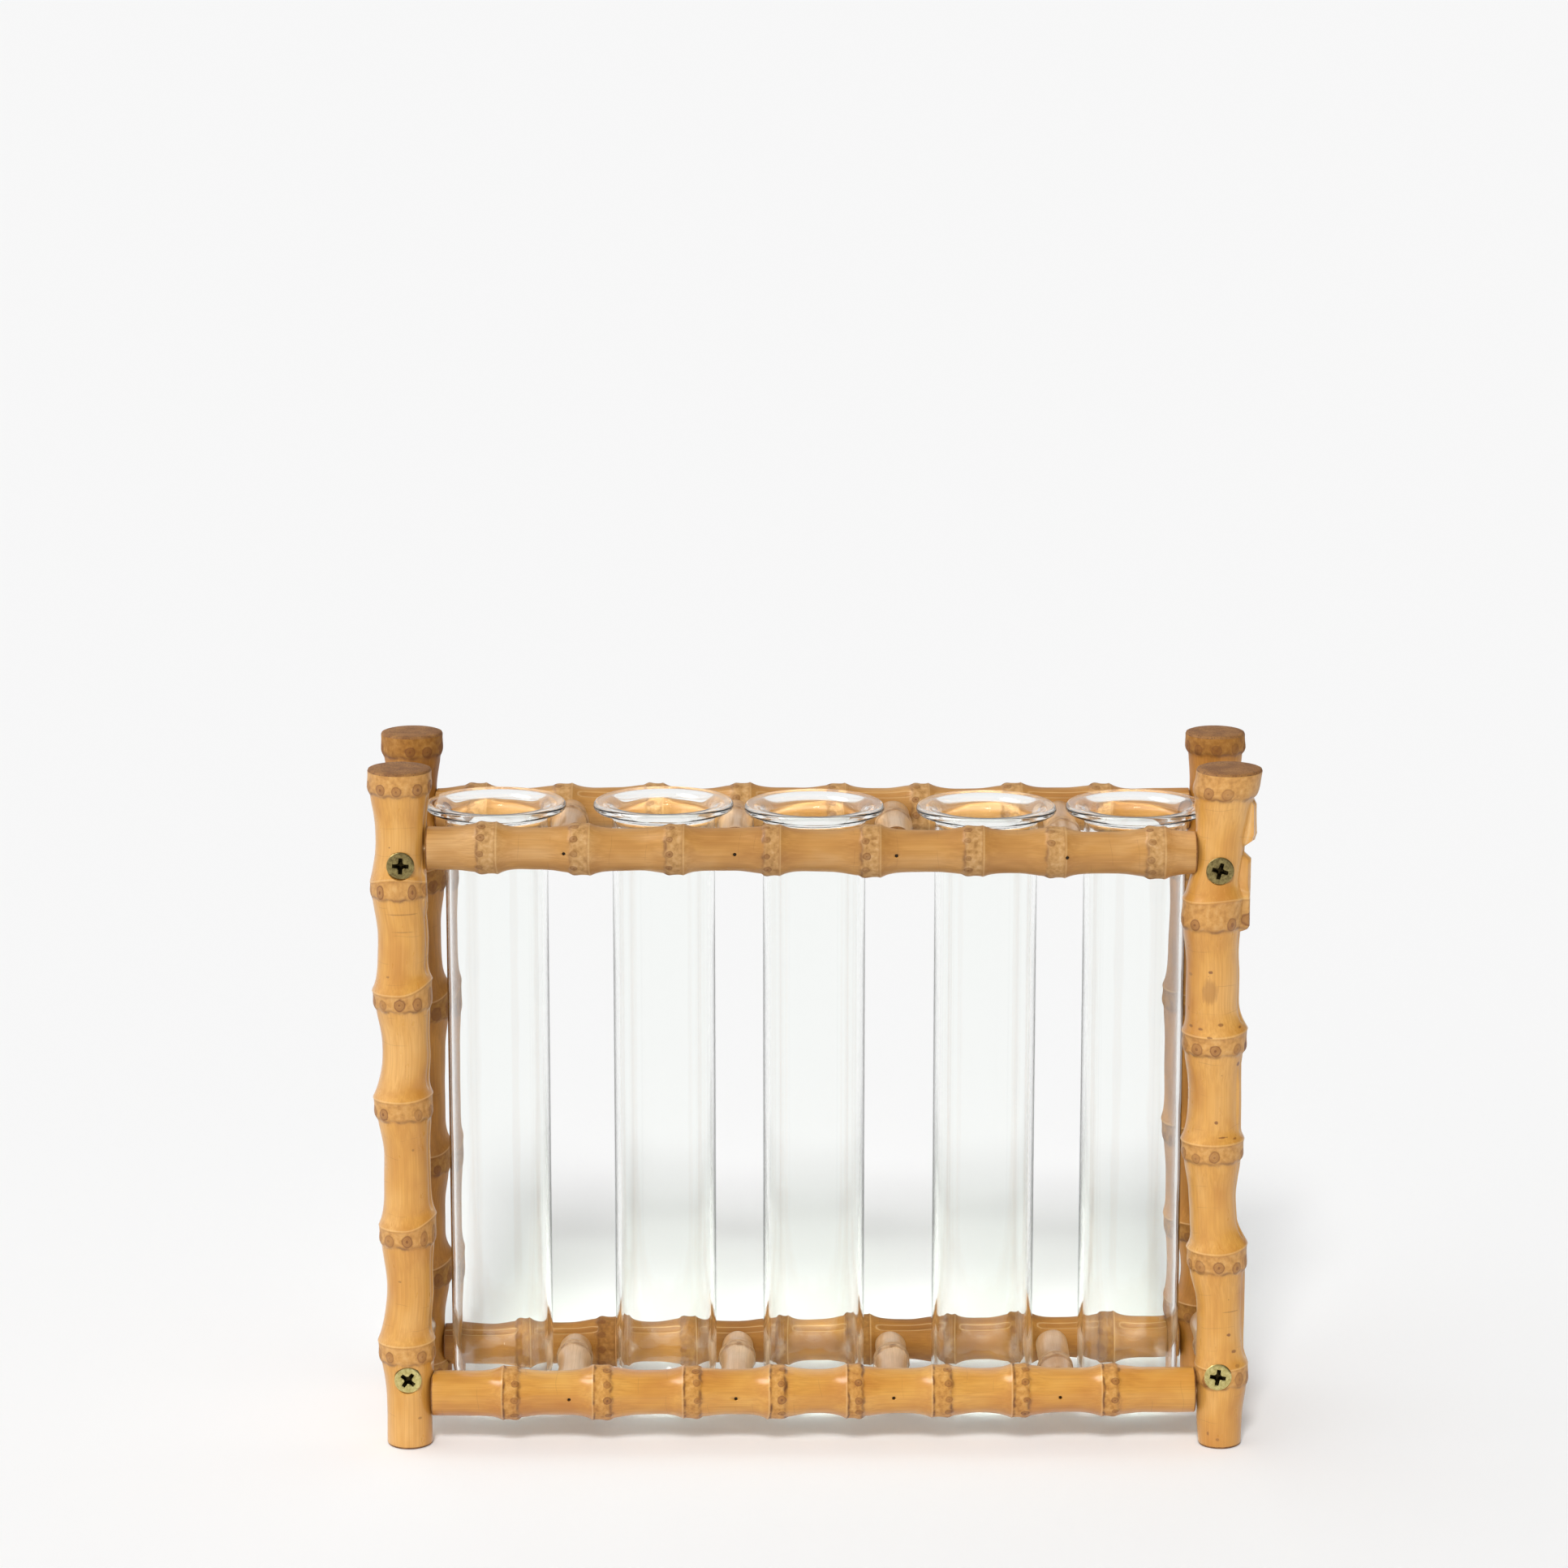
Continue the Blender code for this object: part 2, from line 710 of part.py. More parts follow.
def make_rails(posts):
    """The four rails by name."""
    front = (posts["front_left"], posts["front_right"])
    rear = (posts["rear_left"], posts["rear_right"])
    low = BOTTOM_RAIL_HEIGHT
    top = TOP_RAIL_HEIGHT
    return {
        "front_top": rail_cane(
            "front_top_rail", front, -1.0, top, FRONT_TOP_CLIMB, FRONT_TOP_SPACINGS, True
        ),
        "front_bottom": rail_cane(
            "front_bottom_rail", front, -1.0, low, FRONT_BOTTOM_CLIMB, FRONT_BOTTOM_SPACINGS, False
        ),
        "rear_top": rail_cane(
            "rear_top_rail", rear, 1.0, top, REAR_TOP_CLIMB, REAR_TOP_SPACINGS, True
        ),
        "rear_bottom": rail_cane(
            "rear_bottom_rail", rear, 1.0, low - REAR_BOTTOM_DROP, REAR_BOTTOM_CLIMB,
            REAR_BOTTOM_SPACINGS, True,
        ),
    }


def dowel_frames(rails):
    """Frame of each dowel by name, at the rail's end with +Z into the rail."""
    frames = {}
    for name, rail in rails.items():
        for end, side in (("left", -1.0), ("right", 1.0)):
            tip = min((rail.start, rail.end), key=lambda point: -side * point.x)
            frames[f"{name}_{end}"] = frame_towards(tip, (-side, 0.0, 0.0))
    return frames


def screw_frames(posts, heights):
    """Frame of each screw by name, on the outer face of its post with +Z into it."""
    frames = {}
    for post_name, post in posts.items():
        face = -1.0 if post_name.startswith("front") else 1.0
        side = post_name.split("_")[1]
        for level in ("top", "bottom"):
            height = heights[side, level]
            along = POST_HEIGHT - height
            centre = post.centre(along)
            depth = post.radius(along) - SCREW_SINK
            spot = Vector((centre.x, centre.y + face * depth, centre.z))
            key = f"{post_name}_{level}"
            turn = math.radians(SCREW_TURNS[key])
            frames[key] = frame_towards(spot, (0.0, -face, 0.0), turn)
    return frames


def brad_frames(rails):
    """Frame of each brad by name, on the outer face of its rail with +Z into it."""
    frames = {}
    for rail_name, rail in rails.items():
        face = -1.0 if rail_name.startswith("front") else 1.0
        for number, x in enumerate(PEG_PLACES, start=1):
            along = along_rail(rail, x)
            centre = rail.centre(along)
            depth = rail.radius(along) - BRAD_SINK
            spot = Vector((x, centre.y + face * depth, centre.z))
            frames[rail_name, number] = frame_towards(spot, (0.0, -face, 0.0))
    return frames


def build():
    """Makes every piece of the vase."""
    clear_scene()
    rack = bpy.data.objects.new("rack", None)
    bpy.context.scene.collection.objects.link(rack)

    posts = make_posts()
    rails = make_rails(posts)
    heights = {}
    for side in ("left", "right"):
        for level, offset in (
            ("top", -SPACER_BELOW_TOP_RAIL), ("bottom", SPACER_ABOVE_BOTTOM_RAIL),
        ):
            rail = rails[f"front_{level}"]
            tip = min((rail.start, rail.end), key=lambda p: p.x if side == "left" else -p.x)
            heights[side, level] = tip.z + offset

    spacers = {
        (side, level): spacer_cane(
            f"{side}_{level}_spacer", posts[f"front_{side}"], posts[f"rear_{side}"], height
        )
        for (side, level), height in heights.items()
    }
    pegs = {}
    for level in ("top", "bottom"):
        for number, x in enumerate(PEG_PLACES, start=1):
            pegs[level, number] = peg_cane(
                f"{level}_peg_{number}",
                rails[f"front_{level}"],
                rails[f"rear_{level}"],
                x,
                PEG_FIRST_NODES[(number - 1) % len(PEG_FIRST_NODES)],
            )

    dowels = dowel_frames(rails)
    screws = screw_frames(posts, heights)
    brads = brad_frames(rails)
    dowel_hole = dowel_profile(BORE_GAP)
    screw_hole = grown(screw_profile(), BORE_GAP)
    brad_hole = grown(brad_profile(), BORE_GAP)

    for name, post in posts.items():
        piece = add_cane(post, "post_cane", rack)
        face, side = name.split("_")
        holes = [(screw_hole, SCREW_SIDES, screws[f"{name}_{level}"]) for level in ("top", "bottom")]
        holes += [
            (dowel_hole, DOWEL_SIDES, dowels[f"{face}_{level}_{side}"])
            for level in ("top", "bottom")
        ]
        bore(piece, holes)

    for name, rail in rails.items():
        finish_name = "top_rail_cane" if name.endswith("top") else "rail_cane"
        piece = add_cane(rail, finish_name, rack)
        holes = [(dowel_hole, DOWEL_SIDES, dowels[f"{name}_{side}"]) for side in ("left", "right")]
        holes += [(brad_hole, BRAD_SIDES, brads[name, number])
                  for number in range(1, len(PEG_PLACES) + 1)]
        bore(piece, holes)

    for (level, number), peg in pegs.items():
        piece = add_cane(peg, "peg_cane", rack)
        bore(piece, [(brad_hole, BRAD_SIDES, brads[f"{face}_{level}", number])
                     for face in ("front", "rear")])

    for (side, level), spacer in spacers.items():
        piece = add_cane(spacer, "peg_cane", rack)
        bore(piece, [(screw_hole, SCREW_SIDES, screws[f"{face}_{side}_{level}"])
                     for face in ("front", "rear")])

    for name, frame in dowels.items():
        add_turned(f"{name}_dowel", dowel_profile(), DOWEL_SIDES, frame, "dowel_wood", rack)

    for name, frame in screws.items():
        brass = "aged_brass" if name.endswith("top") else "bright_brass"
        add_recess(add_turned(f"{name}_screw", screw_profile(), SCREW_SIDES, frame, brass, rack))

    for (rail_name, number), frame in brads.items():
        name = f"{rail_name}_brad_{number}"
        add_turned(name, brad_profile(), BRAD_SIDES, frame, "brad_steel", rack)

    top_rails = (rails["front_top"], rails["rear_top"])
    top_pegs = [peg for (level, _), peg in pegs.items() if level == "top"]
    for number, x in enumerate(TUBE_PLACES, start=1):
        seat = Matrix.Translation((x, 0.0, seat_height(x, top_rails, top_pegs)))
        add_turned(f"tube_{number}", tube_profile(), TUBE_SIDES, seat, "clear_glass", rack)


build()
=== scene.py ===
"""Dresses the bamboo bud vase: grown and lacquered cane, blown glass tubes, brass screws.

Lengths in the classes are millimetres, and meshes are in metres. The rack stands on Z = 0,
X runs along it and its front faces -Y. Along a cane, distances run the way its knots point:
a slow flare, the ridge, the collar with its root scars, then a step back to the waist.
"""

from __future__ import annotations

import json
import logging
import math
import random
from collections.abc import Callable, Iterator
from contextlib import contextmanager
from dataclasses import dataclass, field, replace
from enum import Enum
from functools import partial
from itertools import product

import bmesh
import bpy
import numpy as np
from mathutils import Matrix, Vector

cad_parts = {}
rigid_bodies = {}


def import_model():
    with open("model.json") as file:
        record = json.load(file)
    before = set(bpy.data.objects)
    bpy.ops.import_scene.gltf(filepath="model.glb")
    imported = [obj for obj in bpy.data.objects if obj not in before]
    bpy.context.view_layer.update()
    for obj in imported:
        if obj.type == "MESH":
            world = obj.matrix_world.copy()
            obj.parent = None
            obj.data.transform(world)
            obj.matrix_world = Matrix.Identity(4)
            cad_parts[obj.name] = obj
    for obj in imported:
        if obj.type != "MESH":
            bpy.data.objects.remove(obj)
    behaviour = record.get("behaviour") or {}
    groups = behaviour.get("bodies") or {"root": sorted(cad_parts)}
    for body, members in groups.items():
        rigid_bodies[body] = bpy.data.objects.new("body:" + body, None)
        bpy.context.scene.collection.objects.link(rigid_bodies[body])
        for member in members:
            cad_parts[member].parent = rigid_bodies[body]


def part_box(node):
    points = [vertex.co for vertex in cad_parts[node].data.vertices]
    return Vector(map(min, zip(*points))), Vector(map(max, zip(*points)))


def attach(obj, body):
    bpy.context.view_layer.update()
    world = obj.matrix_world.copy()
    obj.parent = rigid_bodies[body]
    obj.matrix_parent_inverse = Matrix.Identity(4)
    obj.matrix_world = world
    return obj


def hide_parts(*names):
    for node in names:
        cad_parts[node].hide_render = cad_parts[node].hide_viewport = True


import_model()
LOG = logging.getLogger("bud_vase")
MM = 0.001
TURN = 2.0 * math.pi
FACES, LEVELS, SIDES = ("front", "rear"), ("top", "bottom"), ("left", "right")

Profile = list[tuple[float, float]]
Socket = bpy.types.NodeSocket
Adder = Callable[..., Socket]
Noises = dict[str, Socket]
# Share and colour of each tone that is laid over a surface, the last one on top
Layers = list[tuple[Socket, "Socket | str"]]


class Body(Enum):
    """Rigid bodies that the pieces ride on."""

    RACK = "rack"
    TUBE = "tube_{}_body"


class Slot(Enum):
    """Material slots of the record."""

    POST = "post_cane"
    BOTTOM_RAIL = "rail_cane"
    TOP_RAIL = "top_rail_cane"
    PEG = "peg_cane"
    GLASS = "clear_glass"
    AGED_BRASS = "aged_brass"
    BRIGHT_BRASS = "bright_brass"
    BRAD = "brad_steel"


# Working in Blender


def linear(code: str) -> tuple[float, ...]:
    """Turns six hex digits of an sRGB colour into linear light, with an alpha of 1."""
    channels = [int(code[place:place + 2], 16) / 255.0 for place in (0, 2, 4)]
    return *(((c + 0.055) / 1.055) ** 2.4 if c > 0.04045 else c / 12.92 for c in channels), 1.0


def feed(node: bpy.types.Node, inputs: dict[int | str, object]) -> None:
    """Links a socket to each input of a node, or sets a value or a hex colour there."""
    for key, source in inputs.items():
        if isinstance(source, Socket):
            node.id_data.links.new(source, node.inputs[key])
        else:
            value = linear(source) if isinstance(source, str) else source
            node.inputs[key].default_value = value


def add_node(
    tree: bpy.types.NodeTree, kind: str, *inputs: object,
    ramp: tuple[tuple[float, str | float], ...] = (), out: int | str = 0, **settings: object,
) -> Socket:
    """Adds a shader node with its settings and links.

    Args:
        tree: The material's node tree.
        kind: Type name of the node without its first word, ShaderNode.
        *inputs: What each input gets in turn, or one dictionary by input name or number.
        ramp: Stops of a colour ramp, each a place and a hex colour or a grey level.
        out: Name or number of the output that is wanted.
        **settings: Properties to set on the node.

    Returns:
        The wanted output socket.
    """
    node = tree.nodes.new("ShaderNode" + kind)
    for name, value in settings.items():
        setattr(node, name, value)
    feed(node, inputs[0] if inputs and isinstance(inputs[0], dict) else dict(enumerate(inputs)))
    if ramp:
        stops = node.color_ramp.elements
        while len(stops) < len(ramp):
            stops.new(1.0)
        for stop, (place, tone) in zip(stops, ramp):
            stop.position = place
            stop.color = linear(tone) if isinstance(tone, str) else (tone, tone, tone, 1.0)
    return node.outputs[out]


def new_material(name: str) -> tuple[bpy.types.Material, Adder, bpy.types.Node]:
    """Makes a material, with add_node held to its tree, and its Principled shader."""
    material = bpy.data.materials.new(name)
    material.use_nodes = True
    tree = material.node_tree
    return material, partial(add_node, tree), tree.nodes["Principled BSDF"]


def deselect_everything() -> None:
    """Leaves nothing selected."""
    for item in bpy.context.view_layer.objects:
        item.select_set(False)


def make_active(piece: bpy.types.Object) -> None:
    """Selects one piece alone and makes it active."""
    deselect_everything()
    piece.select_set(True)
    bpy.context.view_layer.objects.active = piece


def smooth(piece: bpy.types.Object, degrees: float) -> None:
    """Shades a piece smooth wherever its faces meet at less than an angle."""
    make_active(piece)
    bpy.ops.object.shade_smooth_by_angle(angle=math.radians(degrees))


@contextmanager
def editing(piece: bpy.types.Object) -> Iterator[None]:
    """Holds a piece open in edit mode, with nothing selected at first."""
    make_active(piece)
    bpy.ops.object.mode_set(mode="EDIT")
    bpy.ops.mesh.select_mode(type="VERT")
    bpy.ops.mesh.select_all(action="DESELECT")
    try:
        yield
    finally:
        bpy.ops.object.mode_set(mode="OBJECT")


def pick(piece: bpy.types.Object, mode: str, wanted: Callable[[Vector, Vector], bool]) -> None:
    """Selects faces or edges of the piece that is open in edit mode.

    Args:
        piece: The piece to select on.
        mode: FACE or EDGE.
        wanted: Answers for a face's centre and normal, or for the two ends of an edge.
    """
    bpy.ops.mesh.select_mode(type=mode)
    shell = bmesh.from_edit_mesh(piece.data)
    if mode == "FACE":
        for face in shell.faces:
            face.select_set(wanted(face.calc_center_median(), face.normal))
    else:
        for edge in shell.edges:
            edge.select_set(wanted(edge.verts[0].co, edge.verts[1].co))
    bmesh.update_edit_mesh(piece.data)


def paint_picked(piece: bpy.types.Object, slot: int) -> None:
    """Gives the selected faces one of the piece's materials."""
    piece.active_material_index = slot
    bpy.ops.object.material_slot_assign()


def traced(name: str, path: list[tuple[float, float, float]]) -> bpy.types.Object:
    """Draws a wire from point to point.

    Args:
        name: Name of the piece.
        path: The points in millimetres.

    Returns:
        The wire, its object at the origin.
    """
    deselect_everything()
    bpy.ops.mesh.primitive_plane_add(size=MM)
    piece = bpy.context.active_object
    piece.name = piece.data.name = name
    with editing(piece):
        bpy.ops.mesh.select_all(action="SELECT")
        bpy.ops.mesh.merge(type="CENTER")
        bpy.ops.transform.translate(value=[value * MM for value in path[0]])
        for near, far in zip(path, path[1:]):
            step = [(to - start) * MM for start, to in zip(near, far)]
            bpy.ops.mesh.extrude_region_move(TRANSFORM_OT_translate={"value": step})
    return piece


def turn_on_lathe(name: str, profile: Profile, sides: int) -> bpy.types.Object:
    """Turns a profile round Z into a closed solid.

    Args:
        name: Name of the piece.
        profile: Radius and height pairs that begin and end on the axis.
        sides: Facets round the axis.

    Returns:
        The new piece, its axis on Z and its object at the origin.
    """
    piece = traced(name, [(radius, 0.0, height) for radius, height in profile])
    with editing(piece):
        bpy.ops.mesh.select_all(action="SELECT")
        bpy.ops.mesh.spin(steps=sides, angle=TURN, center=(0.0, 0.0, 0.0), axis=(0.0, 0.0, 1.0))
        bpy.ops.mesh.select_all(action="SELECT")
        bpy.ops.mesh.remove_doubles(threshold=0.002 * MM)
        bpy.ops.mesh.normals_make_consistent(inside=False)
    return piece


def cut_with(piece: bpy.types.Object, cutter: bpy.types.Object) -> None:
    """Cuts a piece with a solid and takes that away."""
    make_active(piece)
    cut = piece.modifiers.new("cut", "BOOLEAN")
    cut.operation = "DIFFERENCE"
    cut.solver = "EXACT"
    cut.object = cutter
    bpy.ops.object.modifier_apply(modifier=cut.name)
    bpy.data.objects.remove(cutter, do_unlink=True)


def joined(pieces: list[bpy.types.Object]) -> bpy.types.Object:
    """Joins several pieces into the first one."""
    deselect_everything()
    for piece in pieces:
        piece.select_set(True)
    bpy.context.view_layer.objects.active = pieces[0]
    bpy.ops.object.join()
    return pieces[0]


def copy_of(piece: bpy.types.Object, name: str, place: Matrix) -> bpy.types.Object:
    """Copies a pattern with a mesh of its own, which is moved to its place."""
    twin = piece.copy()
    twin.data = piece.data.copy()
    twin.name = twin.data.name = name
    bpy.context.scene.collection.objects.link(twin)
    twin.data.transform(place)
    return twin


def node_box(node: str) -> tuple[Vector, Vector]:
    """Lowest and highest corners of a solid at rest, in metres."""
    low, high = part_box(node)
    return Vector(low), Vector(high)


def seat(node: str, turn: float = 0.0, along: float = 0.0, out: float = 0.0) -> Matrix:
    """Frame of a screw or nail at the middle of its head's face, with +Z into the wood.

    Args:
        node: The solid that it stands for.
        turn: Turn about +Z in degrees.
        along: Move along the rack in millimetres.
        out: Move out of the wood in millimetres.

    Returns:
        The frame.
    """
    low, high = node_box(node)
    inward = 1.0 if node.startswith("front") else -1.0
    spot = Vector(((low.x + high.x) / 2.0 + along * MM,
                   (low.y if inward > 0.0 else high.y) - out * inward * MM,
                   (low.z + high.z) / 2.0))
    facing = Vector((0.0, inward, 0.0)).to_track_quat("Z", "Y").to_matrix().to_4x4()
    return Matrix.Translation(spot) @ facing @ Matrix.Rotation(math.radians(turn), 4, "Z")


def fetched(items: bpy.types.bpy_prop_collection, name: str, kind: type = np.int32,
            width: int = 1) -> np.ndarray:
    """Reads one property of every item, so many numbers wide, into an array."""
    values = np.empty(len(items) * width, kind)
    items.foreach_get(name, values)
    return values


def mesh_points(mesh: bpy.types.Mesh) -> np.ndarray:
    """Points of a mesh in millimetres."""
    return fetched(mesh.vertices, "co", np.float32, 3).reshape(-1, 3).astype(float) / MM


def turn_between(angle: np.ndarray, other: np.ndarray | float) -> np.ndarray:
    """Signed turn from one angle to another, the short way round."""
    return (angle - other + math.pi) % TURN - math.pi


def eased(along: np.ndarray, table: Profile) -> np.ndarray:
    """Values of a table at each distance, with smooth steps between its places."""
    if not table:
        return np.zeros_like(along)
    places, values = np.array(table).T
    spot = np.clip(np.searchsorted(places, along) - 1, 0, len(places) - 2)
    part = np.clip((along - places[spot]) / (places[spot + 1] - places[spot]), 0.0, 1.0)
    return values[spot] + (values[spot + 1] - values[spot]) * part * part * (3.0 - 2.0 * part)


def hand_over(
    piece: bpy.types.Object, node: str, body: str = Body.RACK.value
) -> None:
    """Puts a finished piece on its body in place of the solid that it stands for."""
    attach(piece, body)
    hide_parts(node)
    LOG.info("%s: %d faces on %s", piece.name, len(piece.data.polygons), body)


# Finishes


@dataclass(frozen=True)
class CaneRind:
    """Rind of root cane under lacquer.

    The rind is hard and smooth, with fine fibres that run the length of the cane. Each knot has
    a duller, mottled collar with a row of ringed root scars and a scalloped, burnt-brown edge.
    The lacquer lies over all of it and gives a second, sharper gloss.
    """

    name: str
    pale: str
    middle: str
    deep: str
    fibre: str
    collar: str
    collar_pale: str
    collar_shade: str
    scar: str = "74401A"
    seam: str = "5A2E14"
    # Pale tone of the painted highlights on the ridges and along the grooves' lips
    lip: str = "F0D29C"
    roughness: float = 0.32
    lacquer: float = 0.35
    lacquer_roughness: float = 0.2
    scar_strength: float = 0.9
    seam_strength: float = 0.55
    ridge_burn: float = 0.0
    crack_space: float = 8.5
    crack_strength: float = 0.20
    speck_space: float = 4.2
    # Name, size across and along the cane in millimetres, and detail of each noise
    patterns: tuple[tuple[str, float, float, float], ...] = (
        ("cloud", 12.0, 30.0, 3.0), ("fibre", 0.45, 22.0, 3.0), ("streak", 1.6, 55.0, 1.0),
        ("bend", 12.0, 40.0, 1.0), ("reach", 7.0, 2.2, 1.0), ("mottle", 1.5, 1.5, 4.0),
        ("burnt", 4.2, 4.2, 2.0), ("ragged", 0.8, 4.5, 3.0), ("worn", 3.0, 8.0, 3.0),
    )

    def material(self) -> bpy.types.Material:
        """Builds the rind's material: straw, then every mark over it, then gloss and relief."""
        material, add, shader = new_material(self.name)
        grain = add("Attribute", attribute_name="grain", out="Vector")
        noise = {
            name: add("TexNoise", {
                "Vector": add("VectorMath", grain, (1.0 / across, 1.0 / across, 1.0 / along),
                              operation="MULTIPLY"),
                "Scale": 1.0, "Detail": detail, "Roughness": 0.55,
            })
            for name, across, along, detail in self.patterns
        }
        crack, speck = self._crack(add, grain, noise), self._speck(add, grain)
        knot, collar, seam = self._knot(add, noise)
        scars, ring = self._scars(add, noise)
        colour = add("ValToRGB", noise["cloud"], ramp=(
            (0.30, self.deep), (0.50, self.middle), (0.70, self.pale),
        ))
        for share, tone in [
            *self._fibres(add, noise), (crack, self.seam), (speck, self.seam),
            *self._furrow(add), *knot, *scars, *self._marks(add, noise),
        ]:
            colour = add("Mix", {0: share, 6: colour, 7: tone}, data_type="RGBA", out=2)

        height = add("Math", noise["mottle"], collar, operation="MULTIPLY")
        height = add("Math", height, 0.07, operation="MULTIPLY")
        # Depths in millimetres
        for mark, depth in (
            (noise["fibre"], -0.008), (crack, -0.02), (speck, -0.04), (ring, -0.06), (seam, -0.07)
        ):
            height = add("Math", mark, depth, height, operation="MULTIPLY_ADD")
        worn = add("MapRange", noise["worn"], 0.3, 0.7, self.roughness - 0.06,
                   self.roughness + 0.08)
        feed(shader, {
            "Base Color": colour,
            "Normal": add("Bump", {"Height": height, "Strength": 1.0, "Distance": MM}),
            "Roughness": add("Math", collar, 0.16, worn, operation="MULTIPLY_ADD"),
            "IOR": 1.5,
            "Coat Weight": add("MapRange", collar, 0.0, 1.0, self.lacquer, self.lacquer * 0.3),
            "Coat Roughness": self.lacquer_roughness,
        })
        return material

    def _fibres(self, add: Adder, noise: Noises) -> Layers:
        """Fine darker and paler fibres, and longer streaks, all along the cane."""
        return [(add("ValToRGB", noise[name], ramp=ramp), tone) for name, tone, ramp in (
            ("fibre", self.fibre, ((0.42, 0.0), (0.60, 0.20), (0.76, 0.34))),
            ("fibre", self.pale, ((0.26, 0.26), (0.42, 0.0))),
            ("streak", self.deep, ((0.50, 0.0), (0.56, 0.18), (0.60, 0.0), (0.68, 0.0),
                                   (0.71, 0.20), (0.74, 0.0))),
        )]

    def _crack(self, add: Adder, grain: Socket, noise: Noises) -> Socket:
        """Hairlines straight across the rind, each running part of the way round."""
        bend = add("Math", noise["bend"], 0.45, operation="MULTIPLY")
        along = add("Math", add("SeparateXYZ", grain, out=2), 1.0 / self.crack_space, bend,
                    operation="MULTIPLY_ADD")
        gap = add("TexVoronoi", {"W": along, "Scale": 1.0}, voronoi_dimensions="1D",
                  feature="DISTANCE_TO_EDGE", out="Distance")
        line = add("MapRange", gap, 0.015, 0.005, 0.0, self.crack_strength)
        reach = add("MapRange", noise["reach"], 0.50, 0.58)
        return add("Math", line, reach, operation="MULTIPLY")

    def _speck(self, add: Adder, grain: Socket) -> Socket:
        """Dark flecks, sparse and of uneven size."""
        cells = add("VectorMath", grain, (1.0 / self.speck_space,) * 3, operation="MULTIPLY")
        away, chance = (add("TexVoronoi", {"Vector": cells, "Scale": 1.0}, out=name)
                        for name in ("Distance", "Color"))
        size = add("MapRange", chance, 0.62, 1.0, 0.0, 0.10)
        inside = add("Math", size, away, operation="SUBTRACT")
        return add("MapRange", inside, 0.0, 0.05, 0.0, 0.7)

    def _furrow(self, add: Adder) -> Layers:
        """The groove that a side bud left up the cane: painted shade inside it and a painted
        highlight along its lips.
        """
        furrow = add("Attribute", attribute_name="furrow", out="Fac")
        return [
            # Painted shade inside the groove
            (add("MapRange", furrow, 0.35, 0.9, 0.0, 0.34), self.deep),
            # A painted highlight along the groove's lips
            (add("ValToRGB", furrow, ramp=((0.02, 0.0), (0.14, 0.35), (0.34, 0.0))), self.lip),
        ]

    def _knot(self, add: Adder, noise: Noises) -> tuple[Layers, Socket, Socket]:
        """The collar, the ridge above it with its painted highlight and painted shade, and the
        scalloped edge below.

        Args:
            add: Adds a node to the material's tree.
            noise: The noises by name.

        Returns:
            What is laid over the rind, and the shares of collar and seam.
        """
        past, beyond = (add("Attribute", attribute_name=name, out="Fac")
                        for name in ("past_ridge", "past_collar"))
        beyond = add("Math", noise["mottle"], 0.9, beyond, operation="MULTIPLY_ADD")
        beyond = add("Math", beyond, 0.45, operation="SUBTRACT")
        begun = add("MapRange", past, -0.05, 0.30)
        collar = add("Math", begun, add("MapRange", beyond, 0.12, -0.12), operation="MULTIPLY")
        skin = add("ValToRGB", noise["mottle"], ramp=(
            (0.30, self.collar_shade), (0.52, self.collar), (0.74, self.collar_pale),
        ))
        # A tan band up the flare
        tan = add("Math", add("MapRange", past, -9.0, -1.5, 0.0, 0.5),
                  add("MapRange", noise["burnt"], 0.40, 0.62), operation="MULTIPLY")
        tan = add("Math", tan, begun, operation="SUBTRACT", use_clamp=True)
        # Burnt-brown seam along the scallops, and a darker band below it
        off = add("Math", beyond, operation="ABSOLUTE")
        burnt = add("MapRange", noise["burnt"], 0.43, 0.66, 0.10, self.seam_strength)
        seam, below_seam = (
            add("Math", add("MapRange", off, *limits), burnt, operation="MULTIPLY")
            for limits in ((0.75, 0.10), (1.5, 0.2, 0.0, 0.55))
        )
        # A painted highlight above the ridge, painted shade in a thin line right under it, and a
        # burnt line along it
        near = add("MapRange", past, -1.0, 1.0)
        painted_crest_highlight, under = (add("ValToRGB", near, ramp=ramp) for ramp in (
            ((0.22, 0.0), (0.40, 0.3), (0.50, 0.0)), ((0.50, 0.0), (0.62, 0.35), (0.86, 0.0)),
        ))
        line = add("Math", past, add("MapRange", noise["burnt"], 0.0, 1.0, 0.5, -1.1),
                   operation="ADD")
        line = add("Math", line, operation="ABSOLUTE")
        burn = add("Math", add("MapRange", line, 0.55, 0.05, 0.0, self.ridge_burn),
                   add("MapRange", noise["worn"], 0.38, 0.56), operation="MULTIPLY")
        return [
            (add("Math", collar, 0.75, operation="MULTIPLY"), skin), (tan, self.deep),
            # Over the knot: a darker band below the seam, the seam, a painted highlight above the
            # ridge and painted shade under it
            (below_seam, self.collar_shade), (seam, self.seam), (painted_crest_highlight, self.lip),
            (under, self.collar_shade), (burn, self.seam),
        ], collar, seam

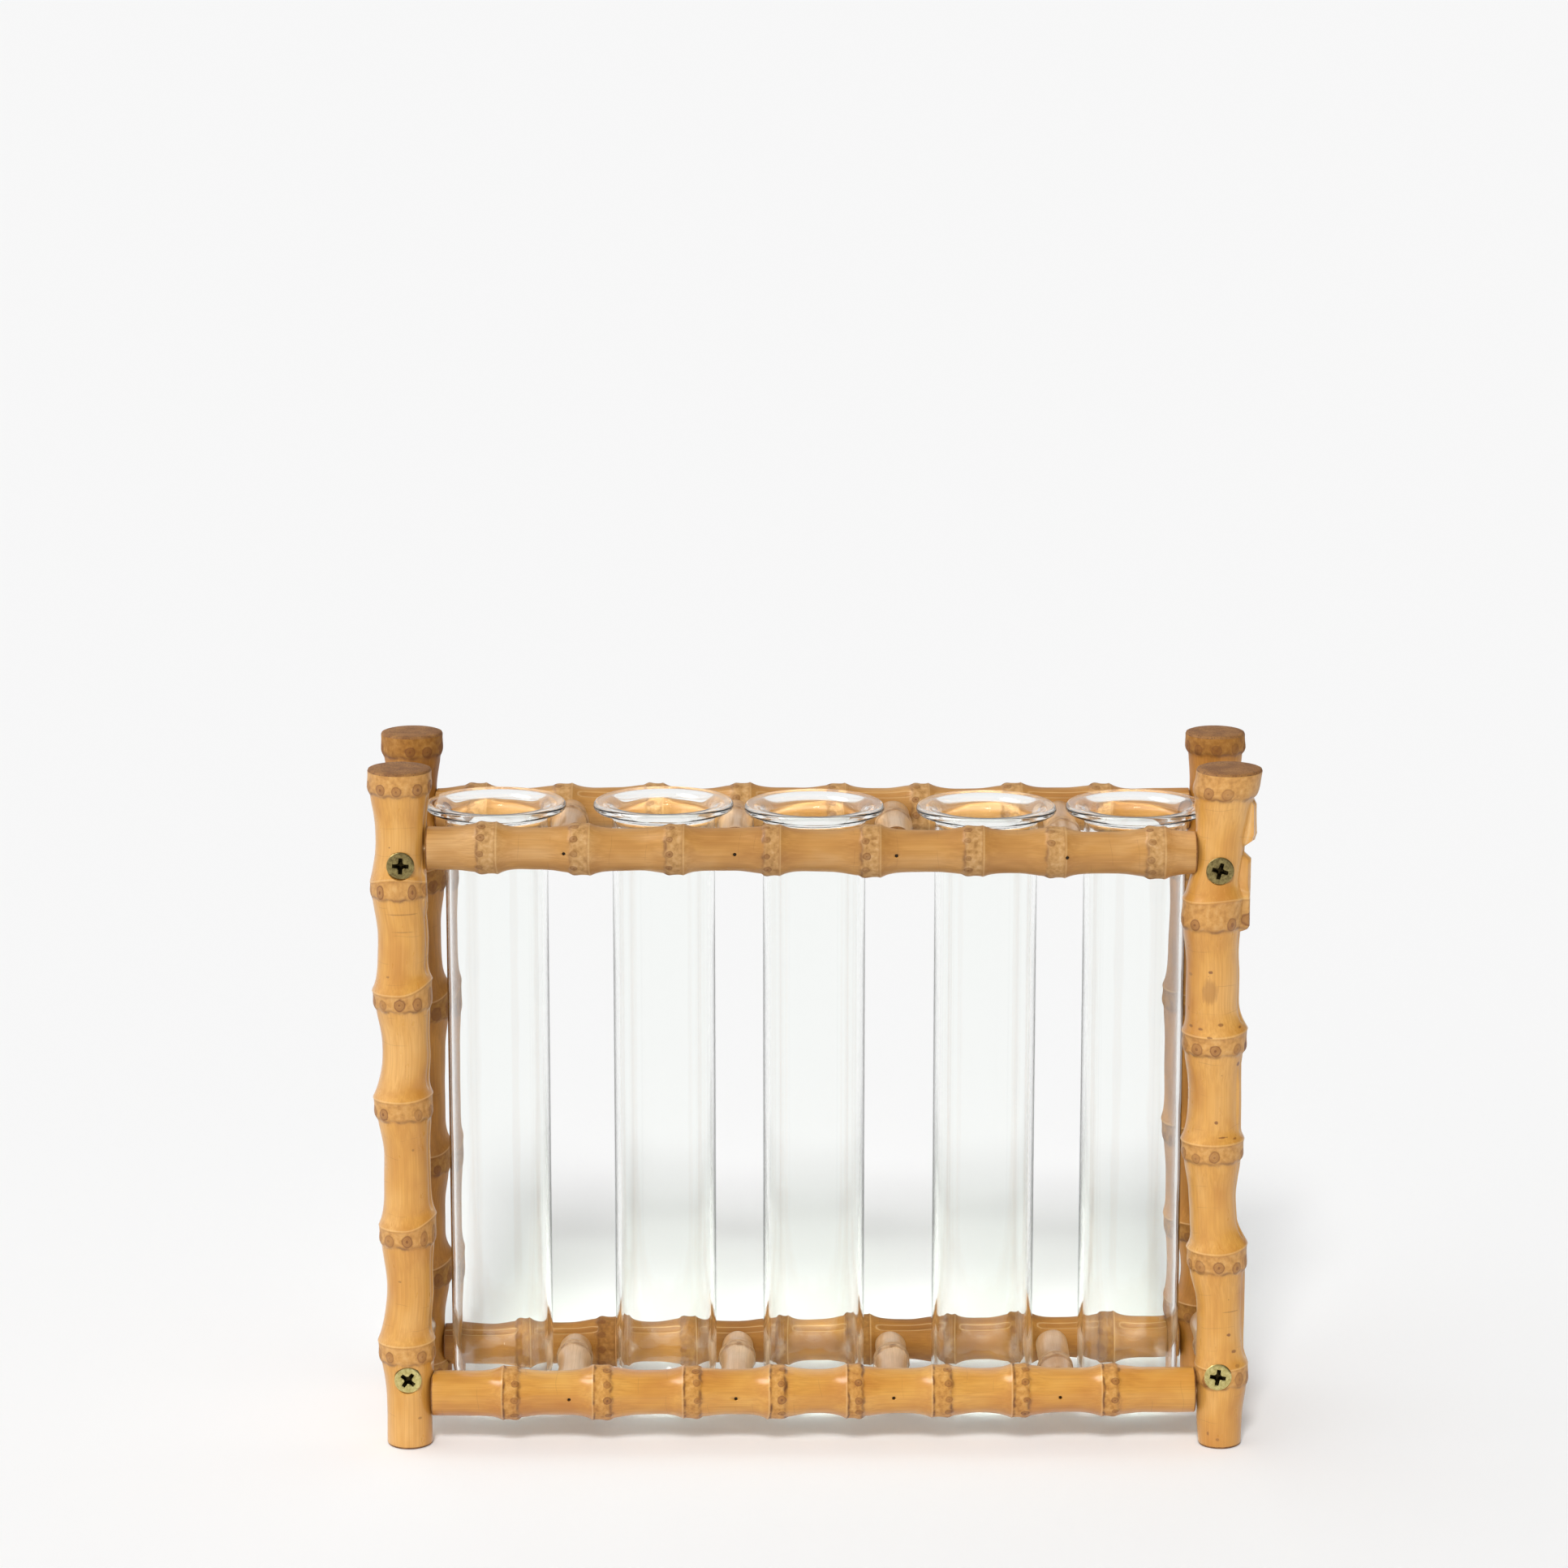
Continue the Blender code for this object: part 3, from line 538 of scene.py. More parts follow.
    def _scars(self, add: Adder, noise: Noises) -> tuple[Layers, Socket]:
        """Root scars, each a dot in two brown rings, and the share of the rings."""
        kind = add("Attribute", attribute_name="scar_kind", out="Fac")
        away = add("VectorMath", add("UVMap", uv_map="scars"), operation="LENGTH", out="Value")
        for name, share in (("burnt", 0.6), ("mottle", 0.3)):
            away = add("Math", noise[name], share, away, operation="MULTIPLY_ADD")
        away = add("Math", away, 0.45, operation="SUBTRACT")
        there = add("Math", kind, 0.01, operation="GREATER_THAN")
        shown = add("MapRange", kind, 0.05, 1.0, 0.4 * self.scar_strength, self.scar_strength)
        shown = add("Math", shown, there, operation="MULTIPLY")
        ring = add("ValToRGB", away, ramp=(
            (0.12, 1.0), (0.24, 0.45), (0.36, 0.28), (0.46, 0.52), (0.56, 0.30), (0.66, 0.40),
            (0.78, 0.92), (0.97, 0.0),
        ))
        disc, ring = (add("Math", *pair, operation="MULTIPLY") for pair in (
            (add("MapRange", away, 1.0, 0.78, 0.0, 0.45), there), (ring, shown),
        ))
        return [(disc, self.collar_shade), (ring, self.scar)], ring

    def _marks(self, add: Adder, noise: Noises) -> Layers:
        """Scorches, bruises and knocks where the cane has them."""
        mark = add("Attribute", attribute_name="mark", out="Vector")
        flat = add("VectorMath", mark, (1.0, 1.0, 0.0), operation="MULTIPLY")
        away = add("Math", noise["ragged"], 1.1,
                   add("VectorMath", flat, operation="LENGTH", out="Value"),
                   operation="MULTIPLY_ADD")
        patch = add("Math", add("MapRange", away, 1.55, 1.20), add("SeparateXYZ", mark, out=2),
                    operation="MULTIPLY")
        return [(patch, self.scar)]


@dataclass(frozen=True)
class EndGrain:
    """Sawn end of solid cane: dark bundles of fibre in softer, paler pith."""

    name: str = "sawn_end_grain"
    pith: str = "9C6E3C"
    shade: str = "7D522B"
    bundle: str = "503118"
    bundle_space: float = 0.62

    def material(self) -> bpy.types.Material:
        """Builds the end grain's material."""
        material, add, shader = new_material(self.name)
        grain = add("Attribute", attribute_name="grain", out="Vector")
        cloud = add("TexNoise", {"Vector": grain, "Scale": 0.28, "Detail": 3.0})
        colour = add("ValToRGB", cloud, ramp=((0.35, self.shade), (0.68, self.pith)))
        dots = add("TexVoronoi", {"Vector": grain, "Scale": 1.0 / self.bundle_space})
        dots = add("MapRange", dots, 0.42, 0.16, 0.0, 0.75)
        feed(shader, {
            "Base Color": add("Mix", {0: dots, 6: colour, 7: self.bundle}, data_type="RGBA",
                              out=2),
            "Normal": add("Bump", {"Height": dots, "Strength": 1.0, "Distance": 0.08 * MM}),
            "Roughness": 0.66,
        })
        return material


@dataclass(frozen=True)
class TurnedWood:
    """Birch dowel: pale, close-grained, with fine streaks along it."""

    name: str = "birch_dowel"
    pale: str = "E2CBA0"
    deep: str = "C7A677"
    streak: float = 0.5

    def material(self) -> bpy.types.Material:
        """Builds the dowel wood's material."""
        material, add, shader = new_material(self.name)
        across = 1.0 / (self.streak * MM)
        streaks = add("TexNoise", {
            "Vector": add("VectorMath", add("TexCoord", out="Object"),
                          (0.05 * across, across, across), operation="MULTIPLY"),
            "Scale": 1.0, "Detail": 3.0,
        })
        feed(shader, {
            "Base Color": add("ValToRGB", streaks, ramp=((0.35, self.deep), (0.65, self.pale))),
            "Roughness": 0.6,
        })
        return material


@dataclass(frozen=True)
class BlownGlass:
    """Drawn borosilicate glass: clear, hard-edged reflections, a breath of green in the rim."""

    name: str = "clear_borosilicate"
    tint: str = "FEFFFE"
    lamp_tint: str = "F6F9F5"
    ior: float = 1.47

    def material(self) -> bpy.types.Material:
        """Builds the glass, which lets lamps through so that the floor isn't dark behind it."""
        material, add, shader = new_material(self.name)
        feed(shader, {
            "Base Color": self.tint, "Roughness": 0.0, "IOR": self.ior,
            "Transmission Weight": 1.0,
        })
        glass = add("MixShader", add("LightPath", out="Is Shadow Ray"), shader.outputs[0],
                    add("BsdfTransparent", self.lamp_tint))
        feed(material.node_tree.nodes["Material Output"], {"Surface": glass})
        return material


@dataclass(frozen=True)
class ScrewBrass:
    """Brass of a wood screw: turned, then plated or left to age, with a patchy patina."""

    name: str
    bright: str
    dull: str
    patina: str
    patina_share: float
    roughness: float

    def material(self) -> bpy.types.Material:
        """Builds the brass."""
        material, add, shader = new_material(self.name)
        place = add("TexCoord", out="Object")
        blotch = add("TexNoise", {
            "Vector": place, "Scale": 0.9 / MM, "Detail": 5.0, "Roughness": 0.65,
        })
        pit = add("TexNoise", {"Vector": place, "Scale": 3.2 / MM, "Detail": 3.0})
        feed(shader, {
            "Base Color": add("Mix", {
                0: add("MapRange", pit, 0.55, 0.72, 0.0, self.patina_share),
                6: add("ValToRGB", blotch, ramp=((0.36, self.dull), (0.62, self.bright))),
                7: self.patina,
            }, data_type="RGBA", out=2),
            "Roughness": add("MapRange", blotch, 0.3, 0.7, self.roughness + 0.08,
                             self.roughness - 0.06),
            "Normal": add("Bump", {"Height": pit, "Strength": 0.6, "Distance": 0.03 * MM}),
            "Metallic": 1.0,
        })
        return material


def stained(rind: CaneRind, name: str, codes: str, **changes: float | str) -> CaneRind:
    """The same rind in other colours, given from pale to collar_shade, and other changes."""
    tones = ("pale", "middle", "deep", "fibre", "collar", "collar_pale", "collar_shade")
    return replace(rind, name=name, **dict(zip(tones, codes.split())), **changes)


class Finish(Enum):
    """Every finish of the vase."""

    POSTS = CaneRind("honey_lacquered_cane", "E0AB60", "D49A46", "BF8033", "AD702B", "C6914E",
                     "D4A669", "A67138")
    # The rear posts and the rear bottom rail take darker copies of the post cane, which paint the
    # shade that falls on the back of the rack
    REAR_POSTS = stained(
        POSTS, "brown_lacquered_cane", "C78A3A B27528 955F1B 7F4C15 9C6A2B B38343 7B4E1C",
        roughness=0.55, lacquer=0.08)
    REAR_RAILS = stained(
        POSTS, "brown_rail_cane", "B37D38 9C6827 7F4F18 6E4112 8A5C28 A1743C 6C431A",
        roughness=0.6, lacquer=0.05)
    BOTTOM_RAILS = stained(
        POSTS, "amber_lacquered_cane", "D9A34C CB8F37 B67424 A0601D C28C44 D5A766 985F28",
        scar="6B3A18", seam="55290F", roughness=0.4, lacquer=0.6, lacquer_roughness=0.15,
        seam_strength=0.85, ridge_burn=0.8)
    TOP_RAILS = stained(
        POSTS, "dusty_dry_cane", "CD9F65 BC8845 A46F32 925F2B BA8F58 D0AB7B 8F6636",
        roughness=0.46, lacquer=0.1, lacquer_roughness=0.3)
    PEGS = stained(
        POSTS, "pale_bare_cane", "E2BF97 CFA57A B3875A A1764A B88F62 D6B487 8E6740",
        roughness=0.34, lacquer=0.4, lacquer_roughness=0.16, scar_strength=0.6)
    SAWN = EndGrain()
    DOWELS = TurnedWood()
    GLASS = BlownGlass()
    AGED_BRASS = ScrewBrass("antiqued_brass", "A2925F", "776842", "463A26", 0.7, 0.34)
    BRIGHT_BRASS = ScrewBrass("yellow_brass", "DCCF8E", "B9A968", "7C6B3C", 0.35, 0.28)
    # Dark brass for the screws' recesses: partly grime, partly painted shade in the hollow
    GRIME = ScrewBrass("grimy_recess_brass_painted_shade", "4A3F24", "2B2313", "120D06", 0.8, 0.55)
    STEEL = ScrewBrass("dark_nail_steel", "4E443B", "332A23", "1E1712", 0.8, 0.5)


Finishes = dict[Finish, bpy.types.Material]


# Cane


# Radius of a knot as a share of the way from waist to ridge: up the flare and over the collar,
# each against its own length, and down the step, whose share is of what the step leaves
FLARE_SECTION = (
    (-1.0, 0.0), (-0.80, 0.03), (-0.62, 0.10), (-0.46, 0.21), (-0.32, 0.36), (-0.20, 0.55),
    (-0.11, 0.75), (-0.045, 0.92), (-0.012, 0.985), (0.0, 1.0),
)
COLLAR_SECTION = (
    (0.05, 0.94), (0.14, 0.88), (0.30, 0.86), (0.46, 0.88), (0.62, 0.91), (0.76, 0.91),
    (0.87, 0.86), (0.95, 0.77),
)
STEP_SECTION = (
    (0.03, 1.20), (0.07, 1.04), (0.13, 0.96), (0.24, 0.84), (0.38, 0.62), (0.54, 0.38),
    (0.72, 0.16), (0.88, 0.04), (1.0, 0.0),
)


@dataclass(frozen=True)
class CaneStock:
    """Sizes of one kind of cane."""

    waist: float
    ridge: float
    flare: float
    collar: float
    step: float
    sides: int
    scars: int
    scar_radius: float
    groove_depth: float
    groove_width: float
    scallop: float
    ring_space: float = 2.0
    edge_round: float = 0.45
    scar_swell: float = 0.2


POST_STOCK = CaneStock(
    waist=7.1, ridge=9.2, flare=10.0, collar=6.2, step=11.0, sides=120, scars=10,
    scar_radius=2.0, groove_depth=0.45, groove_width=0.95, scallop=0.45, edge_round=0.7,
)
RAIL_STOCK = CaneStock(
    waist=6.1, ridge=7.9, flare=8.0, collar=5.2, step=8.0, sides=96, scars=10,
    scar_radius=1.3, groove_depth=0.5, groove_width=0.9, scallop=0.4,
)
PEG_STOCK = CaneStock(
    waist=4.7, ridge=5.5, flare=8.0, collar=4.0, step=6.0, sides=64, scars=8,
    scar_radius=1.1, groove_depth=0.4, groove_width=0.8, scallop=0.25, ring_space=3.0,
)


@dataclass(frozen=True)
class Knot:
    """One knot of a cane.

    Its ridge runs at a distance along the cane and rises by a lift on the side of its bud. Size
    and collar scale its swelling and its collar, and stair is the share that its step leaves.
    """

    along: float
    lift: float = 2.0
    bud: float = 5.0
    size: float = 1.0
    collar: float = 1.0
    stair: float = 0.5


def grown_knots(
    first: float, spacings: tuple[float, ...], length: float, seed: int, lift: float,
    swelling: float = 1.0,
) -> tuple[Knot, ...]:
    """Knots of a cane as far as it reaches, each a little unlike the last.

    Args:
        first: Distance of the first knot.
        spacings: Distances from each knot to the next.
        length: Length that they have to stay within.
        seed: Seed of the variation.
        lift: Greatest rise of a ridge.
        swelling: Scale of all swellings.

    Returns:
        The knots.
    """
    chance = random.Random(seed)
    along, knots = first, []
    for spacing in (*spacings, 0.0):
        if along < length:
            knots.append(Knot(
                along, lift=chance.uniform(0.3, 1.0) * lift, bud=chance.uniform(-25.0, 25.0),
                size=chance.uniform(0.88, 1.08) * swelling, collar=chance.uniform(0.88, 1.08),
                stair=chance.uniform(0.42, 0.56),
            ))
        along += spacing
    return tuple(knots)


@dataclass(frozen=True)
class Mark:
    """A scorch or knock: where it lies, half its width and length, and its strength."""

    along: float
    angle: float
    half_width: float
    half_length: float
    strength: float


@dataclass(frozen=True)
class Sheath:
    """A flat strip of old branch left standing beside the groove, its face off the axis."""

    angle: float
    half_width: float
    start: float
    end: float
    off_axis: float


@dataclass
class Cane:
    """One cut length of cane, turned to its profile and then grown out of true."""

    name: str
    stock: CaneStock
    start: Vector
    end: Vector
    side: Vector
    knots: tuple[Knot, ...]
    sway: Profile = field(default_factory=list)
    girth: Profile = field(default_factory=list)
    seed: int = 1
    furrows: tuple[int, ...] = ()
    furrow_angle: float = 0.0
    marks: tuple[Mark, ...] = ()
    sheaths: tuple[Sheath, ...] = ()
    least_ring_space: float = 0.08
    # Waves round the cane, their height, and how far along it they run round once
    unevenness: tuple[tuple[int, float, float], ...] = (
        (2, 0.10, 41.0), (3, 0.05, 23.0), (5, 0.025, 13.0),
    )
    wobble: float = 0.12

    def length(self) -> float:
        """Length in millimetres."""
        return (self.end - self.start).length / MM

    def place(self) -> Matrix:
        """Frame with its origin at the start, +Z along the cane and +X to its side."""
        along = (self.end - self.start).normalized()
        across = (self.side - along * self.side.dot(along)).normalized()
        turn = Matrix((across, along.cross(across), along)).transposed().to_4x4()
        return Matrix.Translation(self.start) @ turn

    def profile(self) -> Profile:
        """Turned profile from axis to axis.

        Returns:
            Radius and distance pairs.
        """
        stock, length, edge = self.stock, self.length(), self.stock.edge_round
        swellings = []
        for knot in self.knots:
            rise, collar = (stock.ridge - stock.waist) * knot.size, stock.collar * knot.collar
            swellings.append([
                (origin + size * part, swelling * share)
                for origin, size, swelling, section in (
                    (knot.along, stock.flare, rise, FLARE_SECTION),
                    (knot.along, collar, rise, COLLAR_SECTION),
                    (knot.along + collar, stock.step, rise * knot.stair, STEP_SECTION),
                )
                for part, share in section
            ])
        places = np.unique([place for swelling in swellings for place, _ in swelling])
        radii = stock.waist + np.max([
            np.interp(places, *zip(*swelling), left=0.0, right=0.0) for swelling in swellings
        ], axis=0)
        body: Profile = []
        for radius, along in zip(radii.tolist(), places.tolist()):
            if edge * 1.3 < along < length - edge * 1.3 and (
                    not body or along - body[-1][1] > self.least_ring_space):
                body.append((radius, along))
        # A cut close to a knot has its swelling
        first = body[0][0] if body[0][1] < 2.0 else stock.waist
        last = body[-1][0] if body[-1][1] > length - 2.0 else stock.waist
        body = [(first, edge), *body, (last, length - edge)]
        filled: Profile = []
        for near, far in zip(body, body[1:]):
            pieces = max(1, round((far[1] - near[1]) / stock.ring_space))
            filled += [(near[0] + (far[0] - near[0]) * part / pieces,
                        near[1] + (far[1] - near[1]) * part / pieces)
                       for part in range(pieces)]
        head = [(0.0, 0.0), (first * 0.5, 0.0), (first - edge, 0.0),
                (first - edge * 0.3, edge * 0.3)]
        tail = [(last - edge * 0.3, length - edge * 0.3), (last - edge, length),
                (last * 0.5, length), (0.0, length)]
        return [*head, *filled, body[-1], *tail]

    def scar_table(self) -> np.ndarray:
        """Angle, distance past the ridge, radius and kind of root scars, by knot and number."""
        stock = self.stock
        table = []
        for number, knot in enumerate(self.knots):
            chance = random.Random(self.seed * 101 + number)
            row = []
            for place in range(stock.scars):
                angle = TURN / stock.scars * (place + 0.5 + chance.uniform(-0.10, 0.10))
                size = stock.scar_radius * chance.uniform(0.78, 1.06)
                past = stock.collar * knot.collar - size * chance.uniform(0.90, 1.20)
                # Kind 0 is no scar
                kind = 0.0 if chance.random() < 0.12 else chance.uniform(0.1, 1.0)
                row.append((angle, past, size, kind))
            table.append(row)
        return np.array(table)

    def scar_cell(self, angle: np.ndarray) -> np.ndarray:
        """Number of the root scar at each angle."""
        scars = self.stock.scars
        return np.floor((angle % TURN) / TURN * scars).astype(int) % scars

    def build(self, finishes: Finishes, rind: Finish) -> bpy.types.Object:
        """Turns, grows and dresses the cane.

        Args:
            finishes: The materials.
            rind: Finish of its skin.

        Returns:
            The finished piece.
        """
        piece = turn_on_lathe(self.name + "_cane", self.profile(), self.stock.sides)
        for finish in (rind, Finish.SAWN):
            piece.data.materials.append(finishes[finish])
        length, rounded = self.length() * MM, self.stock.edge_round * 1.1 * MM
        with editing(piece):
            pick(piece, "FACE", lambda centre, normal: abs(normal.z) > 0.3 and not (
                rounded < centre.z < length - rounded))
            paint_picked(piece, 1)
        self._mark(piece.data)
        self._grow(piece.data)
        piece.data.transform(self.place())
        smooth(piece, 58.0)
        return piece

    def room_for(self, gap: float) -> bpy.types.Object:
        """Coarse cutter that leaves a gap in millimetres round the cane."""
        stock = replace(self.stock, waist=self.stock.waist + gap, ridge=self.stock.ridge + gap,
                        sides=48, ring_space=6.0, scar_swell=0.0, scallop=0.0)
        room = replace(self, stock=stock, sheaths=(), furrows=())
        cutter = turn_on_lathe("room", room.profile(), stock.sides)
        room._grow(cutter.data)
        cutter.data.transform(room.place())
        return cutter

    def _mark(self, mesh: bpy.types.Mesh) -> None:
        """Writes what the rind's material follows: places on the straight cane.

        Args:
            mesh: The turned mesh, still straight.
        """
        stock = self.stock
        corners = fetched(mesh.loops, "vertex_index")
        counts = fetched(mesh.polygons, "loop_total")
        owner = np.repeat(np.arange(len(counts)), counts)
        at = mesh_points(mesh)[corners]
        middle = np.zeros((len(counts), 3))
        np.add.at(middle, owner, at)
        middle /= counts[:, None]
        facing = np.arctan2(middle[:, 1], middle[:, 0])
        turned = np.arctan2(at[:, 1], at[:, 0])
        # A corner on the axis has its face's angle
        lone = np.hypot(at[:, 0], at[:, 1]) < 0.01
        turned[lone] = facing[owner][lone]

        knots = np.array([(knot.along, stock.collar * knot.collar) for knot in self.knots])
        nearest = np.abs(middle[:, 2][:, None] - knots[None, :, 0] - 3.0).argmin(axis=1)
        scar = self.scar_table()[nearest, self.scar_cell(facing)][owner]
        past = at[:, 2] - knots[nearest, 0][owner]
        mesh.uv_layers.new(name="scars").data.foreach_set("uv", np.stack([
            turn_between(turned, scar[:, 0]) * stock.ridge / scar[:, 2],
            (past - scar[:, 1]) / scar[:, 2],
        ], axis=1).ravel())
        fields = {
            "past_ridge": past, "past_collar": past - knots[nearest, 1][owner],
            "scar_kind": scar[:, 3], "furrow": self._furrow_share(at),
            "grain": at + self.seed * 37.0,
        }
        if self.marks:
            table = np.array([(mark.along, math.radians(mark.angle), mark.half_width,
                               mark.half_length, mark.strength) for mark in self.marks])
            across = turn_between(facing[:, None], table[None, :, 1]) * stock.waist
            closest = np.hypot(
                across / table[:, 2], (middle[:, 2][:, None] - table[:, 0]) / table[:, 3]
            ).argmin(axis=1)
            mark = table[closest][owner]
            fields["mark"] = np.stack([
                turn_between(turned, mark[:, 1]) * stock.waist / mark[:, 2],
                (at[:, 2] - mark[:, 0]) / mark[:, 3], mark[:, 4],
            ], axis=1)
        for name, values in fields.items():
            kind, key = ("FLOAT", "value") if values.ndim == 1 else ("FLOAT_VECTOR", "vector")
            mesh.attributes.new(name, kind, "CORNER").data.foreach_set(key, values.ravel())

    def _furrow_share(self, points: np.ndarray) -> np.ndarray:
        """How deep in a bud groove each point of the straight cane lies, from 0 to 1."""
        share = np.zeros(len(points))
        lows = [0.0, *(knot.along + self.stock.collar * knot.collar for knot in self.knots)]
        highs = [*(knot.along for knot in self.knots), self.length() + 3.0]
        turned = np.arctan2(points[:, 1], points[:, 0])
        across = np.abs(turn_between(turned, math.radians(self.furrow_angle))) * self.stock.waist
        across = np.clip(1.3 - across / self.stock.groove_width, 0.0, 1.0)
        for number in self.furrows:
            low, high = lows[number] - 0.8, highs[number] - 1.5
            ends = np.minimum(points[:, 2] - low, high - points[:, 2]) / 2.5
            share = np.maximum(share, across * np.clip(ends, 0.0, 1.0))
        return share * share * (3.0 - 2.0 * share)

    def _grow(self, mesh: bpy.types.Mesh) -> None:
        """Moves the straight mesh to its natural shape.

        Ridges rise towards the bud, collars swell at each scar, the edge scallops, bud grooves
        sink in, and the whole cane bows and is a little out of round.

        Args:
            mesh: The turned mesh, still straight.
        """
        stock, length = self.stock, self.length()
        points = mesh_points(mesh)
        along = points[:, 2].copy()
        radius = np.hypot(points[:, 0], points[:, 1])
        angle = np.arctan2(points[:, 1], points[:, 0])
        skin = np.clip(radius / stock.waist, 0.0, 1.0)
        moved, swell = along.copy(), np.zeros(len(points))
        table, cell = self.scar_table(), self.scar_cell(angle)
        for number, knot in enumerate(self.knots):
            past, collar = along - knot.along, stock.collar * knot.collar
            side = np.cos(angle - math.radians(knot.bud))
            bud = np.where(side > 0.0, side * side, 0.0)
            before = np.clip(1.0 + past / (stock.flare * 1.25), 0.0, 1.0)
            after = np.clip(1.0 - past / (collar * 0.92), 0.0, 1.0)
            weight = np.where(past <= 0.0, before, after)
            room = min(1.0, max(0.0, knot.along - 1.0) / 6.0)
            moved -= knot.lift * room * bud * weight * weight * (3.0 - 2.0 * weight)
            scar = table[number, cell]
            off = turn_between(angle, scar[:, 0]) * stock.ridge / scar[:, 2]
            high = (past - scar[:, 1]) / scar[:, 2]
            bump = np.clip(1.0 - (off * off + high * high) / 1.5, 0.0, 1.0) ** 2
            swell += stock.scar_swell * bump * (scar[:, 3] > 0.0)
            edge = np.clip(1.0 - np.abs(past - collar - 0.3) / 2.2, 0.0, 1.0)
            bay = np.sqrt(np.clip(1.25 - off * off, 0.0, 1.0)) - 0.6
            moved += stock.scallop * bay * edge
        swell += eased(along, self.girth)
        bow = eased(along, self.sway)
        for sheath in self.sheaths:
            across = np.abs(turn_between(angle, math.radians(sheath.angle))) * stock.waist
            inside = np.clip((sheath.half_width - across) / 0.5 + 0.5, 0.0, 1.0)
            ends = np.clip(np.minimum(along - sheath.start, sheath.end - along) / 1.2, 0.0, 1.0)
            short = np.clip(sheath.off_axis - bow - radius - swell, 0.0, None)
            swell += short * inside * np.sqrt(ends) * (skin > 0.9)
        swell -= stock.groove_depth * self._furrow_share(points)
        for waves, size, pitch in self.unevenness:
            phase = self.seed * (waves + 1.7)
            swell += size * skin * np.cos(waves * angle + phase + along * TURN / pitch)
        inner = np.clip(np.minimum(along, length - along) / 8.0, 0.0, 1.0)
        wobble = self.wobble * inner * np.sin(along * TURN / 67.0 + self.seed)
        scale = np.where(radius > 1e-4, (radius + swell * skin) / np.maximum(radius, 1e-4), 1.0)
        grown = np.stack([
            points[:, 0] * scale + bow + wobble, points[:, 1] * scale + wobble * 0.5, moved,
        ], axis=1)
        mesh.vertices.foreach_set("co", (grown * MM).ravel())
        mesh.update()


# The vase


